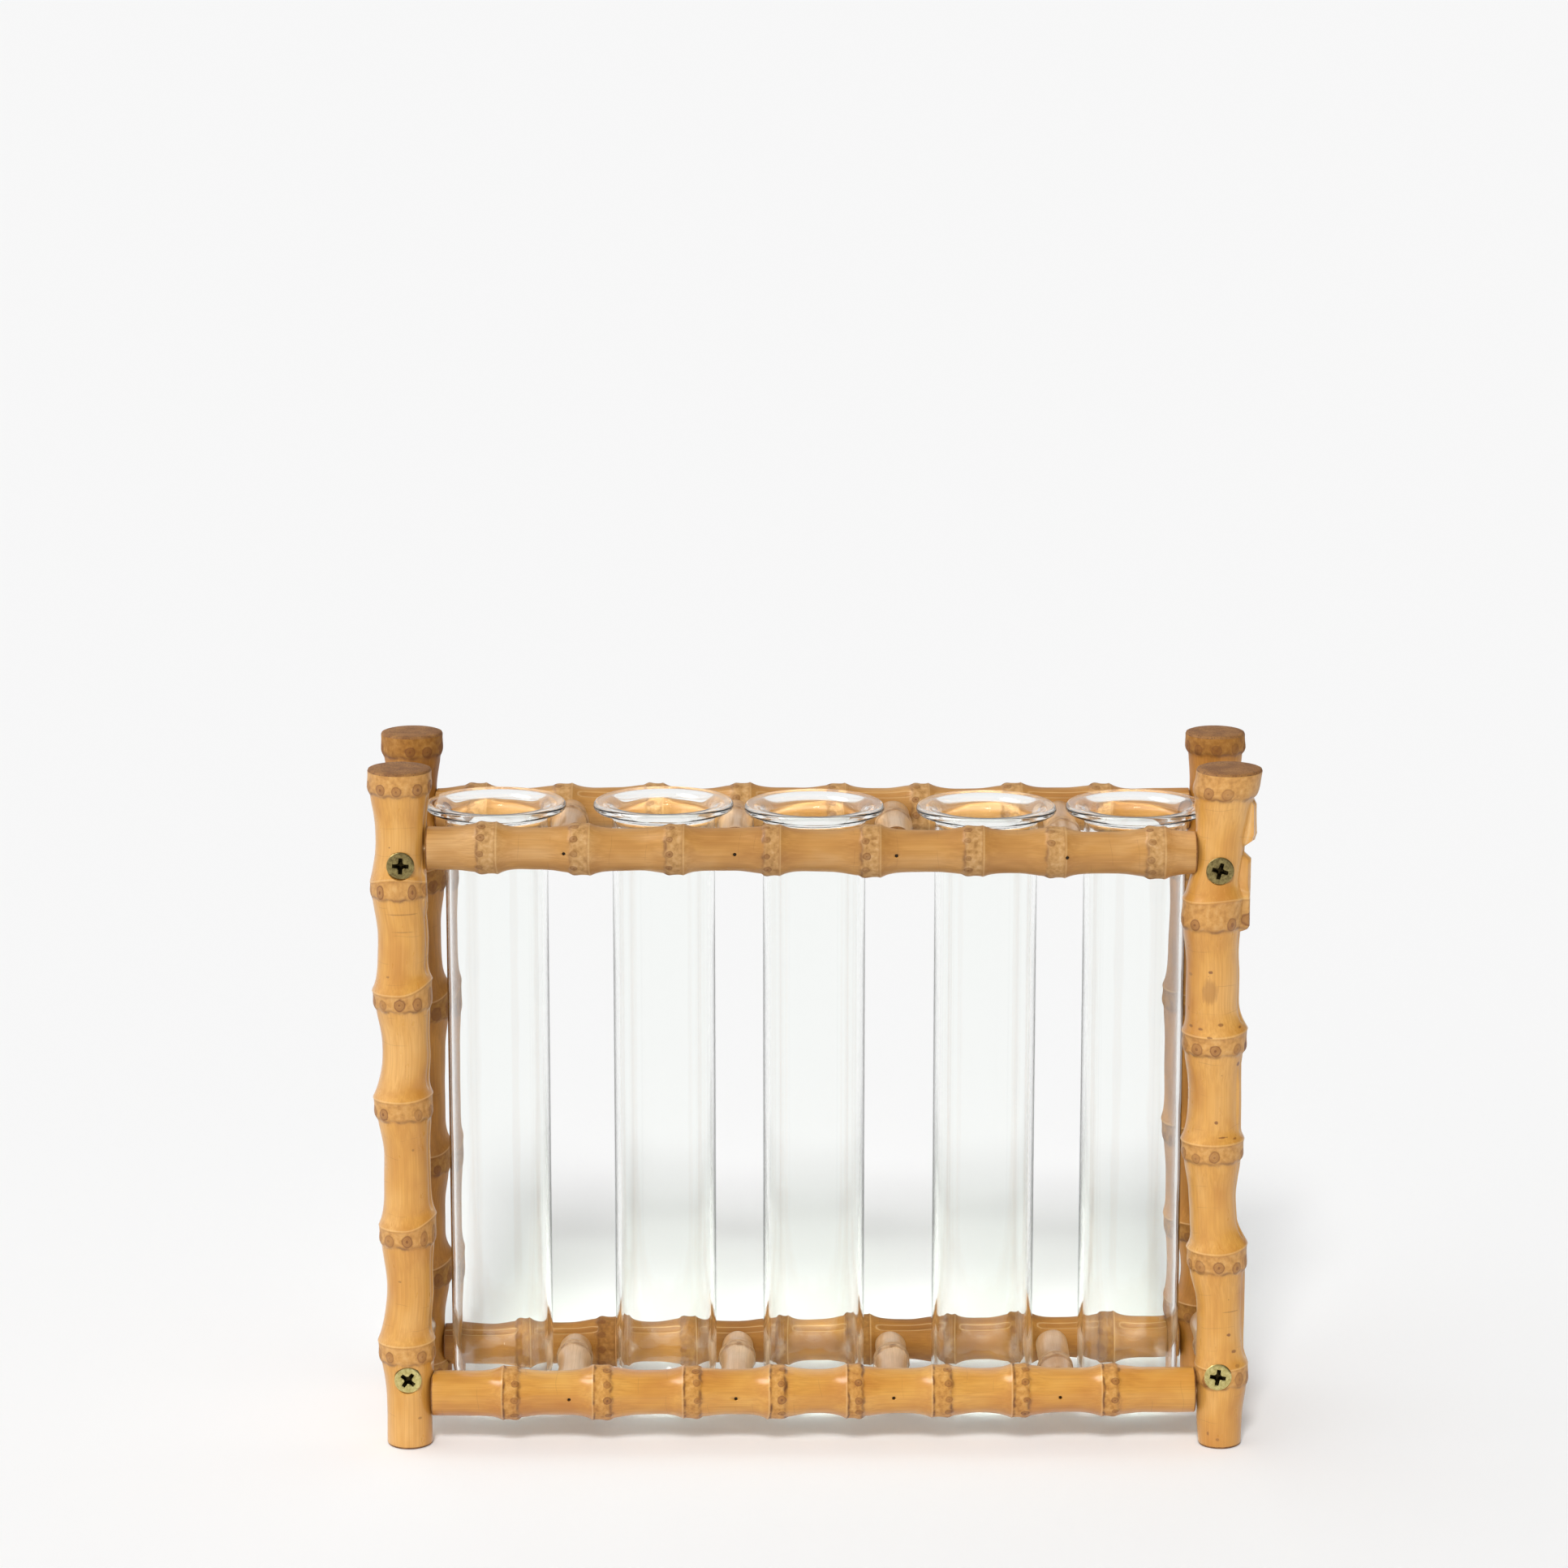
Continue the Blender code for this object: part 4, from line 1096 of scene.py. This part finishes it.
@dataclass
class Screws:
    """Countersunk wood screws with a cross recess, one pattern copied to every place."""

    head_radius: float = 4.0
    head_depth: float = 2.6
    head_edge: float = 0.35
    shank_radius: float = 1.75
    length: float = 30.0
    tip: float = 4.0
    recess_reach: float = 2.45
    recess_arm: float = 0.56
    recess_corner: float = 0.85
    recess_depth: float = 1.7
    recess_floor: float = 0.42
    lip: float = 0.14
    clearance: float = 0.14
    above: float = 0.5
    # Turn in degrees, and moves along the rack and out of the wood to meet the grown posts
    seats: dict[str, tuple[float, float, float]] = field(default_factory=lambda: {
        "front_left_top": (2.0, 0.3, 1.1), "front_left_bottom": (38.0, 0.0, 0.6),
        "front_right_top": (14.0, -2.3, 1.2), "front_right_bottom": (8.0, -0.4, -0.3),
        "rear_left_top": (25.0, 0.0, 0.4), "rear_left_bottom": (-12.0, 0.0, 0.4),
        "rear_right_top": (40.0, 0.0, 0.4), "rear_right_bottom": (5.0, 0.0, 0.4),
    })

    def frame(self, key: str) -> Matrix:
        """Frame at the middle of a screw's head face, +Z into the wood."""
        return seat(key + "_screw", *self.seats[key])

    def hole(self, key: str) -> bpy.types.Object:
        """Cutter for the countersunk hole of one screw."""
        mouth, bore = self.head_radius + self.clearance, self.shank_radius + self.clearance
        end = self.length + self.clearance
        cutter = turn_on_lathe("screw_hole", [
            (0.0, -6.0), (mouth + 0.5, -6.0), (mouth, 0.1), (mouth, self.head_edge),
            (bore, self.head_depth + self.clearance), (bore, end), (0.0, end),
        ], 48)
        cutter.data.transform(self.frame(key))
        return cutter

    def _pattern(self, finishes: Finishes) -> bpy.types.Object:
        """The screw on its axis, recess and all, its recess darkened with grime and painted
        shade.
        """
        head, edge = self.head_radius, self.head_edge
        screw = turn_on_lathe("screw_pattern", [
            (0.0, 0.0), (head * 0.72, 0.0), (head - 0.42, 0.03), (head - 0.14, 0.12),
            (head, 0.28), (head, edge + 0.1), (self.shank_radius, self.head_depth),
            (self.shank_radius, self.length - self.tip), (0.0, self.length),
        ], 64)
        cut_with(screw, self._recess())
        for finish in (Finish.AGED_BRASS, Finish.GRIME):
            screw.data.materials.append(finishes[finish])
        reach, floor = self.recess_reach * MM, self.recess_depth * 1.02 * MM
        with editing(screw):
            pick(screw, "EDGE", lambda one, two: max(abs(one.z), abs(two.z)) < 0.002 * MM
                 and self._on_recess(one) and self._on_recess(two)
                 and max(one.length, two.length) < reach * 1.1)
            bpy.ops.mesh.bevel(offset=self.lip * MM, segments=2, affect="EDGES")
            # The recess's faces take the dark brass, grime with painted shade
            pick(screw, "FACE", lambda centre, _: 0.25 * MM < centre.z < floor
                 and math.hypot(centre.x, centre.y) < reach)
            paint_picked(screw, 1)
        smooth(screw, 35.0)
        return screw

    def _outline(self) -> Profile:
        """Plan of the cross: four straight arms with rounded corners between them."""
        arm, reach, corner = self.recess_arm, self.recess_reach, self.recess_corner
        quarter = [(reach, -arm), (reach, arm)]
        for step in range(1, 6):
            turn = math.pi / 2.0 * step / 6.0
            quarter.append((arm + corner * (1.0 - math.sin(turn)),
                            arm + corner * (1.0 - math.cos(turn))))
        points = []
        for side in range(4):
            cosine, sine = math.cos(side * math.pi / 2.0), math.sin(side * math.pi / 2.0)
            points += [(x * cosine - y * sine, x * sine + y * cosine) for x, y in quarter]
        return points

    def _on_recess(self, point: Vector) -> bool:
        """Whether a point of the head's face lies on the recess's outline."""
        outline = self._outline()
        x, y = point.x / MM, point.y / MM
        for (x0, y0), (x1, y1) in zip(outline, outline[1:] + outline[:1]):
            run = math.hypot(x1 - x0, y1 - y0)
            off = abs((x1 - x0) * (y0 - y) - (x0 - x) * (y1 - y0)) / run
            share = ((x - x0) * (x1 - x0) + (y - y0) * (y1 - y0)) / run ** 2
            if off < 0.01 and -0.02 < share < 1.02:
                return True
        return False

    def _recess(self) -> bpy.types.Object:
        """Cutter of the cross recess, tapered to its floor."""
        cutter = traced("recess", [(x, y, -self.above) for x, y in self._outline()])
        with editing(cutter):
            bpy.ops.mesh.select_all(action="SELECT")
            bpy.ops.mesh.edge_face_add()
            for deeper, share in ((self.above, 1.0), (self.recess_depth, self.recess_floor)):
                bpy.ops.mesh.extrude_region_move(
                    TRANSFORM_OT_translate={"value": (0.0, 0.0, deeper * MM)})
                bpy.ops.transform.resize(value=(share, share, 1.0), center_override=(0, 0, 0))
            bpy.ops.mesh.select_all(action="SELECT")
            bpy.ops.mesh.normals_make_consistent(inside=False)
        return cutter

    def build(self, finishes: Finishes) -> None:
        """Sets a screw at each of the eight places, the upper ones aged."""
        pattern = self._pattern(finishes)
        for key in self.seats:
            piece = copy_of(pattern, key + "_wood_screw", self.frame(key))
            if key.endswith("bottom"):
                piece.data.materials[0] = finishes[Finish.BRIGHT_BRASS]
            hand_over(piece, key + "_screw")
        bpy.data.objects.remove(pattern, do_unlink=True)


@dataclass
class Brads:
    """Small nails through the rails into the pegs."""

    head_radius: float = 0.42
    head_depth: float = 0.6
    shank_radius: float = 0.35
    length: float = 24.0
    hole_radius: float = 0.5
    hole_depth: float = 13.0
    clearance: float = 0.1
    sides: int = 20
    count: int = 4

    def nodes(self, rail: str) -> list[str]:
        """The solids of a rail's brads."""
        return [f"{rail}_brad_{number}" for number in range(1, self.count + 1)]

    def holes(self, rail: str) -> bpy.types.Object:
        """Cutter for the nail holes of a rail."""
        cutters = []
        bore = self.shank_radius + self.clearance
        for node in self.nodes(rail):
            cutters.append(turn_on_lathe("brad_hole", [
                (0.0, -3.0), (self.hole_radius, -3.0), (self.hole_radius, self.head_depth),
                (bore, self.head_depth * 1.6), (bore, self.hole_depth), (0.0, self.hole_depth),
            ], self.sides))
            cutters[-1].data.transform(seat(node))
        return joined(cutters)

    def build(self, finishes: Finishes) -> None:
        """Drives all the brads."""
        head, shank = self.head_radius, self.shank_radius
        pattern = turn_on_lathe("brad_pattern", [
            (0.0, 0.0), (head * 0.7, 0.02), (head, 0.2), (head, self.head_depth),
            (shank, self.head_depth + 0.2), (shank, self.length - 2.0), (0.0, self.length),
        ], self.sides)
        pattern.data.materials.append(finishes[Finish.STEEL])
        smooth(pattern, 40.0)
        for face, level in product(FACES, LEVELS):
            for node in self.nodes(f"{face}_{level}"):
                hand_over(copy_of(pattern, node + "_nail", seat(node)), node)
        bpy.data.objects.remove(pattern, do_unlink=True)


@dataclass(frozen=True)
class PostShape:
    """How one post has grown: the steps of its centre line, its girth and what marks it."""

    knots: tuple[Knot, ...]
    furrow_angle: float
    sway: Profile
    girth: Profile = field(default_factory=list)
    marks: tuple[Mark, ...] = ()
    sheaths: tuple[Sheath, ...] = ()


# Rows follow the fields of Knot, Mark and Sheath
POST_SHAPES = {
    "front_left": PostShape(
        tuple(Knot(*row) for row in (
            (0.0, 0.0, 5.0, 1.0, 1.1), (33.3, 2.0, 90.0, 0.42, 0.66),
            (65.6, 3.3, 5.0, 0.84, 0.78), (97.6, 1.0, 5.0, 0.86, 0.92),
            (136.4, 3.4, 5.0, 0.74, 0.82), (171.8, 0.5, 5.0, 0.74, 0.90),
        )),
        15.0,
        [(0.0, 0.1), (20.0, 0.3), (35.0, -0.9), (50.0, 0.3), (65.0, -0.2), (84.0, 0.9),
         (98.0, -0.3), (118.0, 0.4), (138.0, 0.3), (156.0, 0.8), (172.0, -0.6), (190.0, -0.1),
         (203.6, -0.1)],
        [(0.0, 0.2), (50.0, 0.1), (85.0, -0.2), (118.0, -0.3), (156.0, -0.2), (190.0, -0.4),
         (203.6, -0.4)],
        tuple(Mark(*row) for row in (
            (41.6, 82.0, 5.2, 0.22, 0.5), (46.8, 84.0, 3.8, 0.2, 0.4),
            (60.2, 120.0, 0.6, 0.4, 0.5), (112.0, 70.0, 0.5, 0.5, 0.5),
            (152.0, 110.0, 0.6, 0.35, 0.5), (194.0, 60.0, 0.8, 0.5, 0.5),
        )),
        (Sheath(12.0, 1.2, 22.0, 42.0, 7.7),),
    ),
    "front_right": PostShape(
        tuple(Knot(*row) for row in (
            (0.0, 0.0, 5.0, 1.1, 1.26, 0.45), (38.4, 1.0, 60.0, 0.92, 1.28),
            (77.9, 0.9, 5.0, 1.02, 0.89), (110.3, 0.3, 5.0, 0.94, 0.90),
            (143.4, 1.5, 5.0, 0.98, 0.96), (179.1, 0.6, 5.0, 0.52, 0.86),
        )),
        18.0,
        [(0.0, -0.3), (12.0, -1.8), (24.0, -2.6), (36.0, -4.1), (46.0, -4.7), (61.0, -3.9),
         (69.0, -3.9), (79.0, -2.9), (88.0, -3.3), (98.0, -3.1), (112.0, -3.3), (126.0, -2.9),
         (134.0, -2.4), (143.0, -1.1), (150.0, -1.0), (160.0, -0.2), (172.0, 0.0),
         (182.0, 0.7), (192.0, 0.5), (203.6, 0.6)],
        [(0.0, 0.4), (14.0, 0.3), (24.0, -0.2), (36.0, 0.1), (62.0, 0.5), (92.0, 0.3),
         (118.0, 0.1), (132.0, -0.2), (165.0, -0.35), (184.0, -0.3), (194.0, -0.45),
         (203.6, -0.75)],
        tuple(Mark(*row) for row in (
            (64.4, 101.0, 2.5, 4.2, 0.36), (58.6, 100.0, 0.8, 0.55, 0.8),
            (60.0, 152.0, 0.9, 0.5, 0.4), (75.1, 146.0, 0.8, 0.5, 0.7),
            (75.5, 122.0, 0.7, 0.45, 0.7), (74.1, 80.0, 0.7, 0.5, 0.7),
            (76.0, 36.0, 0.7, 0.45, 0.7), (77.6, 104.0, 0.6, 0.4, 0.7),
            (103.5, 88.0, 0.7, 0.55, 0.8), (107.9, 74.0, 1.4, 0.3, 0.75),
            (108.7, 46.0, 0.7, 0.35, 0.7), (168.2, 72.0, 0.8, 0.5, 0.8),
            (173.5, 58.0, 0.9, 0.7, 0.75), (178.0, 56.0, 0.9, 0.6, 0.4),
            (81.5, 24.0, 0.55, 1.5, 1.0), (86.6, 35.0, 0.7, 0.8, 0.8),
            (62.0, 76.0, 4.2, 0.2, 0.35), (161.3, 62.0, 3.2, 0.2, 0.45),
            (199.0, 126.0, 0.5, 0.8, 0.6), (200.6, 100.0, 0.7, 0.6, 0.5),
        )),
        tuple(Sheath(*row) for row in (
            (8.0, 2.2, 9.0, 21.5, 7.9), (6.0, 2.0, 24.6, 47.5, 6.3),
            (14.0, 2.0, 86.0, 108.0, 4.9), (8.0, 1.8, 147.0, 192.0, 7.1),
        )),
    ),
    "rear_left": PostShape(
        grown_knots(0.0, (41.0, 40.4, 47.9, 35.4, 30.0), 200.0, 5, 4.0), -20.0,
        [(0.0, 0.0), (100.0, 1.2), (203.6, 0.0)],
    ),
    "rear_right": PostShape(
        grown_knots(0.0, (38.0, 41.0, 41.4, 29.9, 25.7), 200.0, 6, 4.0), 200.0,
        [(0.0, 0.0), (100.0, -4.0), (140.0, -2.0), (162.0, -0.4), (203.6, 0.0)],
    ),
}


@dataclass
class Posts:
    """The four upright canes, cut at a knot at the top and square at the foot."""

    height: float = 203.6
    x: float = 119.0
    y: float = 25.5
    first_seed: int = 3

    def canes(self) -> dict[str, Cane]:
        """The four posts, not yet built, by face and side."""
        canes = {}
        for seed, (key, shape) in enumerate(POST_SHAPES.items(), start=self.first_seed):
            x = (-self.x if key.endswith("left") else self.x) * MM
            y = (-self.y if key.startswith("front") else self.y) * MM
            canes[key] = Cane(
                key + "_post", POST_STOCK, Vector((x, y, self.height * MM)), Vector((x, y, 0.0)),
                Vector((1.0, 0.0, 0.0)), shape.knots, shape.sway, shape.girth, seed,
                tuple(range(len(shape.knots))), shape.furrow_angle, shape.marks, shape.sheaths,
            )
        return canes

    def build(self, finishes: Finishes, screws: Screws) -> None:
        """Builds the four posts with their screw holes."""
        for key, cane in self.canes().items():
            front = key.startswith("front")
            # Rear posts take the darker copy of the cane, with painted shade
            piece = cane.build(finishes, Finish.POSTS if front else Finish.REAR_POSTS)
            for level in LEVELS:
                cut_with(piece, screws.hole(f"{key}_{level}"))
            hand_over(piece, key + "_post")


@dataclass(frozen=True)
class RailShape:
    """How one rail lies and has grown.

    It climbs by a height from left to right. Its ends reach past its solid's, up to the edges
    of the posts as they have grown. Its knots are given by the first one and the spacings.
    """

    height: float
    climb: float
    reaches: tuple[float, float]
    swelling: float
    knots: tuple[float, ...]
    girth: float = 0.0


RAIL_SHAPES = {
    "front_top": RailShape(180.1, -1.5, (1.8, -1.1), 0.8,
                           (10.5, 28.5, 23.5, 29.6, 28.7, 27.7, 27.1, 26.6)),
    "front_bottom": RailShape(15.2, 1.2, (1.6, 2.7), 0.82,
                              (19.5, 26.6, 26.4, 25.4, 22.7, 25.1, 23.4, 26.3), 0.45),
    "rear_top": RailShape(180.1, 0.0, (1.0, 1.0), 0.9,
                          (23.0, 26.2, 27.5, 24.8, 28.1, 25.9, 27.0, 25.5)),
    "rear_bottom": RailShape(13.0, 2.4, (2.5, 1.7), 0.9,
                             (18.8, 24.6, 24.5, 24.4, 26.2, 25.1, 25.8, 24.9)),
}


@dataclass
class Rails:
    """The four canes along the rack, cut square between the posts."""

    y: float = 25.5
    gap: float = 0.3
    lift: float = 1.2
    end_without_knots: float = 3.5
    first_seed: int = 11

    def cane(self, key: str, shape: RailShape, seed: int) -> Cane:
        """Lays out one rail, its ends near where the solid's are.

        Args:
            key: Face and level, such as front_top.
            shape: How it has grown.
            seed: Seed of its natural variation.

        Returns:
            The cane, not yet built.
        """
        low, high = node_box(key + "_rail")
        y = (-self.y if key.startswith("front") else self.y) * MM
        on_left, on_right = shape.reaches
        start = Vector((low.x - on_left * MM, y, shape.height * MM))
        end = Vector((high.x + on_right * MM, y, (shape.height + shape.climb) * MM))
        first, *spacings = shape.knots
        # Only the front bottom rail's cane grew from left to right
        if key == "front_bottom":
            first += on_left
        else:
            first += on_right
            start, end = end, start
        length = (end - start).length / MM
        return Cane(
            key + "_rail", RAIL_STOCK, start, end, Vector((0.0, 0.6, -0.8)),
            grown_knots(first, tuple(spacings), length - self.end_without_knots, seed, self.lift,
                        shape.swelling),
            girth=[(0.0, shape.girth), (length, shape.girth)], seed=seed, furrow_angle=180.0,
            furrows=tuple(range(9)) if key.startswith("rear") else (),
        )

    def build(self, finishes: Finishes, brads: Brads, posts: Posts) -> None:
        """Builds the four rails with their nail holes, their ends close up to the posts."""
        canes = posts.canes()
        for seed, (key, shape) in enumerate(RAIL_SHAPES.items(), start=self.first_seed):
            face, level = key.split("_")
            finish, slot = Finish.TOP_RAILS, Slot.TOP_RAIL
            if level == "bottom":
                finish, slot = Finish.BOTTOM_RAILS, Slot.BOTTOM_RAIL
            # The rear bottom rail takes the darker copy of the cane, with painted shade
            if key == "rear_bottom":
                finish = Finish.REAR_RAILS
            piece = self.cane(key, shape, seed).build(finishes, finish)
            cut_with(piece, brads.holes(key))
            for side in SIDES:
                cut_with(piece, canes[f"{face}_{side}"].room_for(self.gap))
            hand_over(piece, key + "_rail")


@dataclass
class CrossPieces:
    """The short canes from front to rear: pegs between the rails, spacers between the posts."""

    first_knots: tuple[float, ...] = (8.0, 9.5, 13.0, 23.0)
    spacer_knot: float = 19.0
    lift: float = 1.0
    first_seed: int = 21

    def cane(self, node: str, first_knot: float, seed: int) -> Cane:
        """Lays out one short cane in the middle of its solid's box."""
        low, high = node_box(node)
        x, z = (low.x + high.x) / 2.0, (low.z + high.z) / 2.0
        start, end = Vector((x, high.y, z)), Vector((x, low.y, z))
        knots = grown_knots(first_knot, (), (end - start).length / MM, seed, self.lift)
        return Cane(node, PEG_STOCK, start, end, Vector((0.3, 0.0, -1.0)), knots, seed=seed)

    def build(self, finishes: Finishes) -> None:
        """Builds the eight pegs and the four spacers."""
        places = [(f"{level}_peg_{number}", knot) for level in LEVELS
                  for number, knot in enumerate(self.first_knots, start=1)]
        places += [(f"{side}_{level}_spacer", self.spacer_knot)
                   for side, level in product(SIDES, LEVELS)]
        for seed, (node, first_knot) in enumerate(places, start=self.first_seed):
            cane = self.cane(node, first_knot, seed)
            hand_over(cane.build(finishes, Finish.PEGS), node)


@dataclass
class Tubes:
    """Blown test tubes: a round bottom, a straight wall and a rim flared and fire-rounded."""

    radius: float = 15.0
    wall: float = 1.4
    length: float = 186.0
    rim_radius: float = 20.5
    bead: float = 1.2
    neck: float = 3.2
    throat: float = 3.6
    throat_drop: float = 0.2
    sides: int = 128
    count: int = 5

    def profile(self) -> Profile:
        """Section from the outer pole round the rim to the inner pole."""
        outer, inner, top = self.radius, self.radius - self.wall, self.length
        bead, neck, throat = self.bead, self.neck, self.throat
        under, middle = top - 2.0 * bead, self.rim_radius - bead
        straight = [(outer, outer + (under - neck - outer) * part) for part in (0.25, 0.5, 0.75)]
        arcs = [[], [], [], [], []]
        for turn in (math.pi / 2.0 * step / 12.0 for step in range(13)):
            sine, cosine = math.sin(turn), math.cos(turn)
            for arc, point in zip(arcs, (
                (outer * sine, outer - outer * cosine),
                (outer + neck * (1.0 - cosine), under - neck * (1.0 - sine)),
                (middle + bead * math.sin(2.0 * turn), top - bead - bead * math.cos(2.0 * turn)),
                (inner + throat * (1.0 - sine), top - self.throat_drop - throat * (1.0 - cosine)),
                (inner * sine, outer - inner * cosine),
            )):
                arc.append(point)
        outside, flare, rim, mouth, inside = arcs
        return outside + straight + flare + rim + mouth + inside[::-1]

    def build(self, finishes: Finishes) -> None:
        """Blows five tubes and hangs each where its solid is."""
        pattern = turn_on_lathe("tube_pattern", self.profile(), self.sides)
        pattern.data.materials.append(finishes[Finish.GLASS])
        make_active(pattern)
        bpy.ops.object.shade_smooth()
        for number in range(1, self.count + 1):
            node = f"tube_{number}"
            low, high = node_box(node)
            place = Matrix.Translation(((low.x + high.x) / 2.0, (low.y + high.y) / 2.0, low.z))
            piece = copy_of(pattern, node + "_glass", place)
            hand_over(piece, node, Body.TUBE.value.format(number))
        bpy.data.objects.remove(pattern, do_unlink=True)


@dataclass
class Studio:
    """Pale sweep, a soft key from the front, and even light all round that fades rightwards."""

    floor_size: float = 40.0
    white: str = "F9F9F9"
    sky_left: float = 1.03
    sky_right: float = 0.06
    wall_share: float = 0.1
    soft_box: float = 9.0
    box_towards: tuple[float, float, float] = (-0.61, -0.07, 0.79)
    key: float = 0.46
    key_elevation: float = 45.0
    key_azimuth: float = -7.0
    key_width: float = 13.0
    camera_place: tuple[float, float, float] = (-8.8, -1417.7, 507.5)
    camera_pitch: float = 12.5
    lens: float = 114.32
    sensor: float = 36.0
    bounces: int = 24

    def build(self) -> None:
        """Sets the floor, the lights and the camera."""
        self._lay_floor()
        self._hang_key()
        self._light_room()
        self._set_camera()

    def _lay_floor(self) -> None:
        """Lays the matt white sweep."""
        deselect_everything()
        bpy.ops.mesh.primitive_plane_add(size=self.floor_size)
        floor = bpy.context.active_object
        floor.name = floor.data.name = "studio_floor"
        material, _, shader = new_material("matt_white_sweep")
        feed(shader, {"Base Color": self.white, "Roughness": 0.9, "Specular IOR Level": 0.0})
        floor.data.materials.append(material)

    def _hang_key(self) -> None:
        """Hangs the key, which reflections don't show."""
        bpy.ops.object.light_add(type="SUN")
        sun = bpy.context.active_object
        sun.name = "soft_key"
        sun.visible_glossy = False
        sun.data.angle = math.radians(self.key_width)
        elevation = math.radians(self.key_elevation)
        sun.data.energy = self.key * math.pi / math.sin(elevation)
        sun.rotation_euler = (math.pi / 2.0 - elevation, 0.0, math.radians(self.key_azimuth))

    def _light_room(self) -> None:
        """Lights the room, which the camera and glass see as a plain backdrop."""
        world = bpy.data.worlds.new("even_studio")
        bpy.context.scene.world = world
        world.use_nodes = True
        add = partial(add_node, world.node_tree)
        # Light falls off from the left to the right and from the walls to the ceiling
        towards = add("TexCoord", out="Generated")
        across, height = (add("SeparateXYZ", towards, out=axis) for axis in (0, 2))
        even = add("Math", add("MapRange", across, -1.0, 1.0, self.sky_left, self.sky_right),
                   add("MapRange", height, 0.0, 1.0, 1.0 + self.wall_share,
                       1.0 - self.wall_share), operation="MULTIPLY")
        # Reflections show one soft-edged box at the upper left
        facing = add("VectorMath", towards, self.box_towards, operation="DOT_PRODUCT",
                     out="Value")
        glossy, camera, through = (add("LightPath", out=f"Is {name} Ray")
                                   for name in ("Glossy", "Camera", "Transmission"))
        box = add("Math", add("MapRange", facing, 0.92, 0.99, 0.0, self.soft_box,
                              interpolation_type="SMOOTHSTEP"), glossy, operation="MULTIPLY")
        light = add("Background", "FFFFFF", add("Math", even, box, operation="ADD"))
        seen = add("Math", camera, through, operation="MAXIMUM")
        feed(world.node_tree.nodes["World Output"], {
            "Surface": add("MixShader", seen, light, add("Background", self.white, 1.0)),
        })

    def _set_camera(self) -> None:
        """Sets the camera and how far light is followed."""
        bpy.ops.object.camera_add(location=[value * MM for value in self.camera_place])
        camera = bpy.context.active_object
        camera.rotation_euler = (math.radians(90.0 - self.camera_pitch), 0.0, 0.0)
        camera.data.lens = self.lens
        camera.data.sensor_width = self.sensor
        camera.data.clip_end = 100.0
        scene = bpy.context.scene
        scene.camera = camera
        scene.view_settings.view_transform = "Standard"
        # Light runs far round inside the tubes' rims and walls before it leaves them
        for kind in ("max", "transmission", "glossy"):
            setattr(scene.cycles, kind + "_bounces", self.bounces)


def dress_dowels(wood: bpy.types.Material) -> None:
    """Gives the hidden dowels their wood."""
    for face, level, side in product(FACES, LEVELS, SIDES):
        mesh = bpy.data.objects[f"{face}_{level}_{side}_dowel"].data
        mesh.materials.clear()
        mesh.materials.append(wood)


def main() -> None:
    """Builds the whole vase and its studio."""
    logging.basicConfig(level=logging.INFO, format="%(message)s")
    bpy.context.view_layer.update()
    Studio().build()
    finishes = {finish: finish.value.material() for finish in Finish}
    screws, brads, posts = Screws(), Brads(), Posts()
    posts.build(finishes, screws)
    Rails().build(finishes, brads, posts)
    CrossPieces().build(finishes)
    Tubes().build(finishes)
    screws.build(finishes)
    brads.build(finishes)
    dress_dowels(finishes[Finish.DOWELS])


if __name__ == "__main__":
    main()
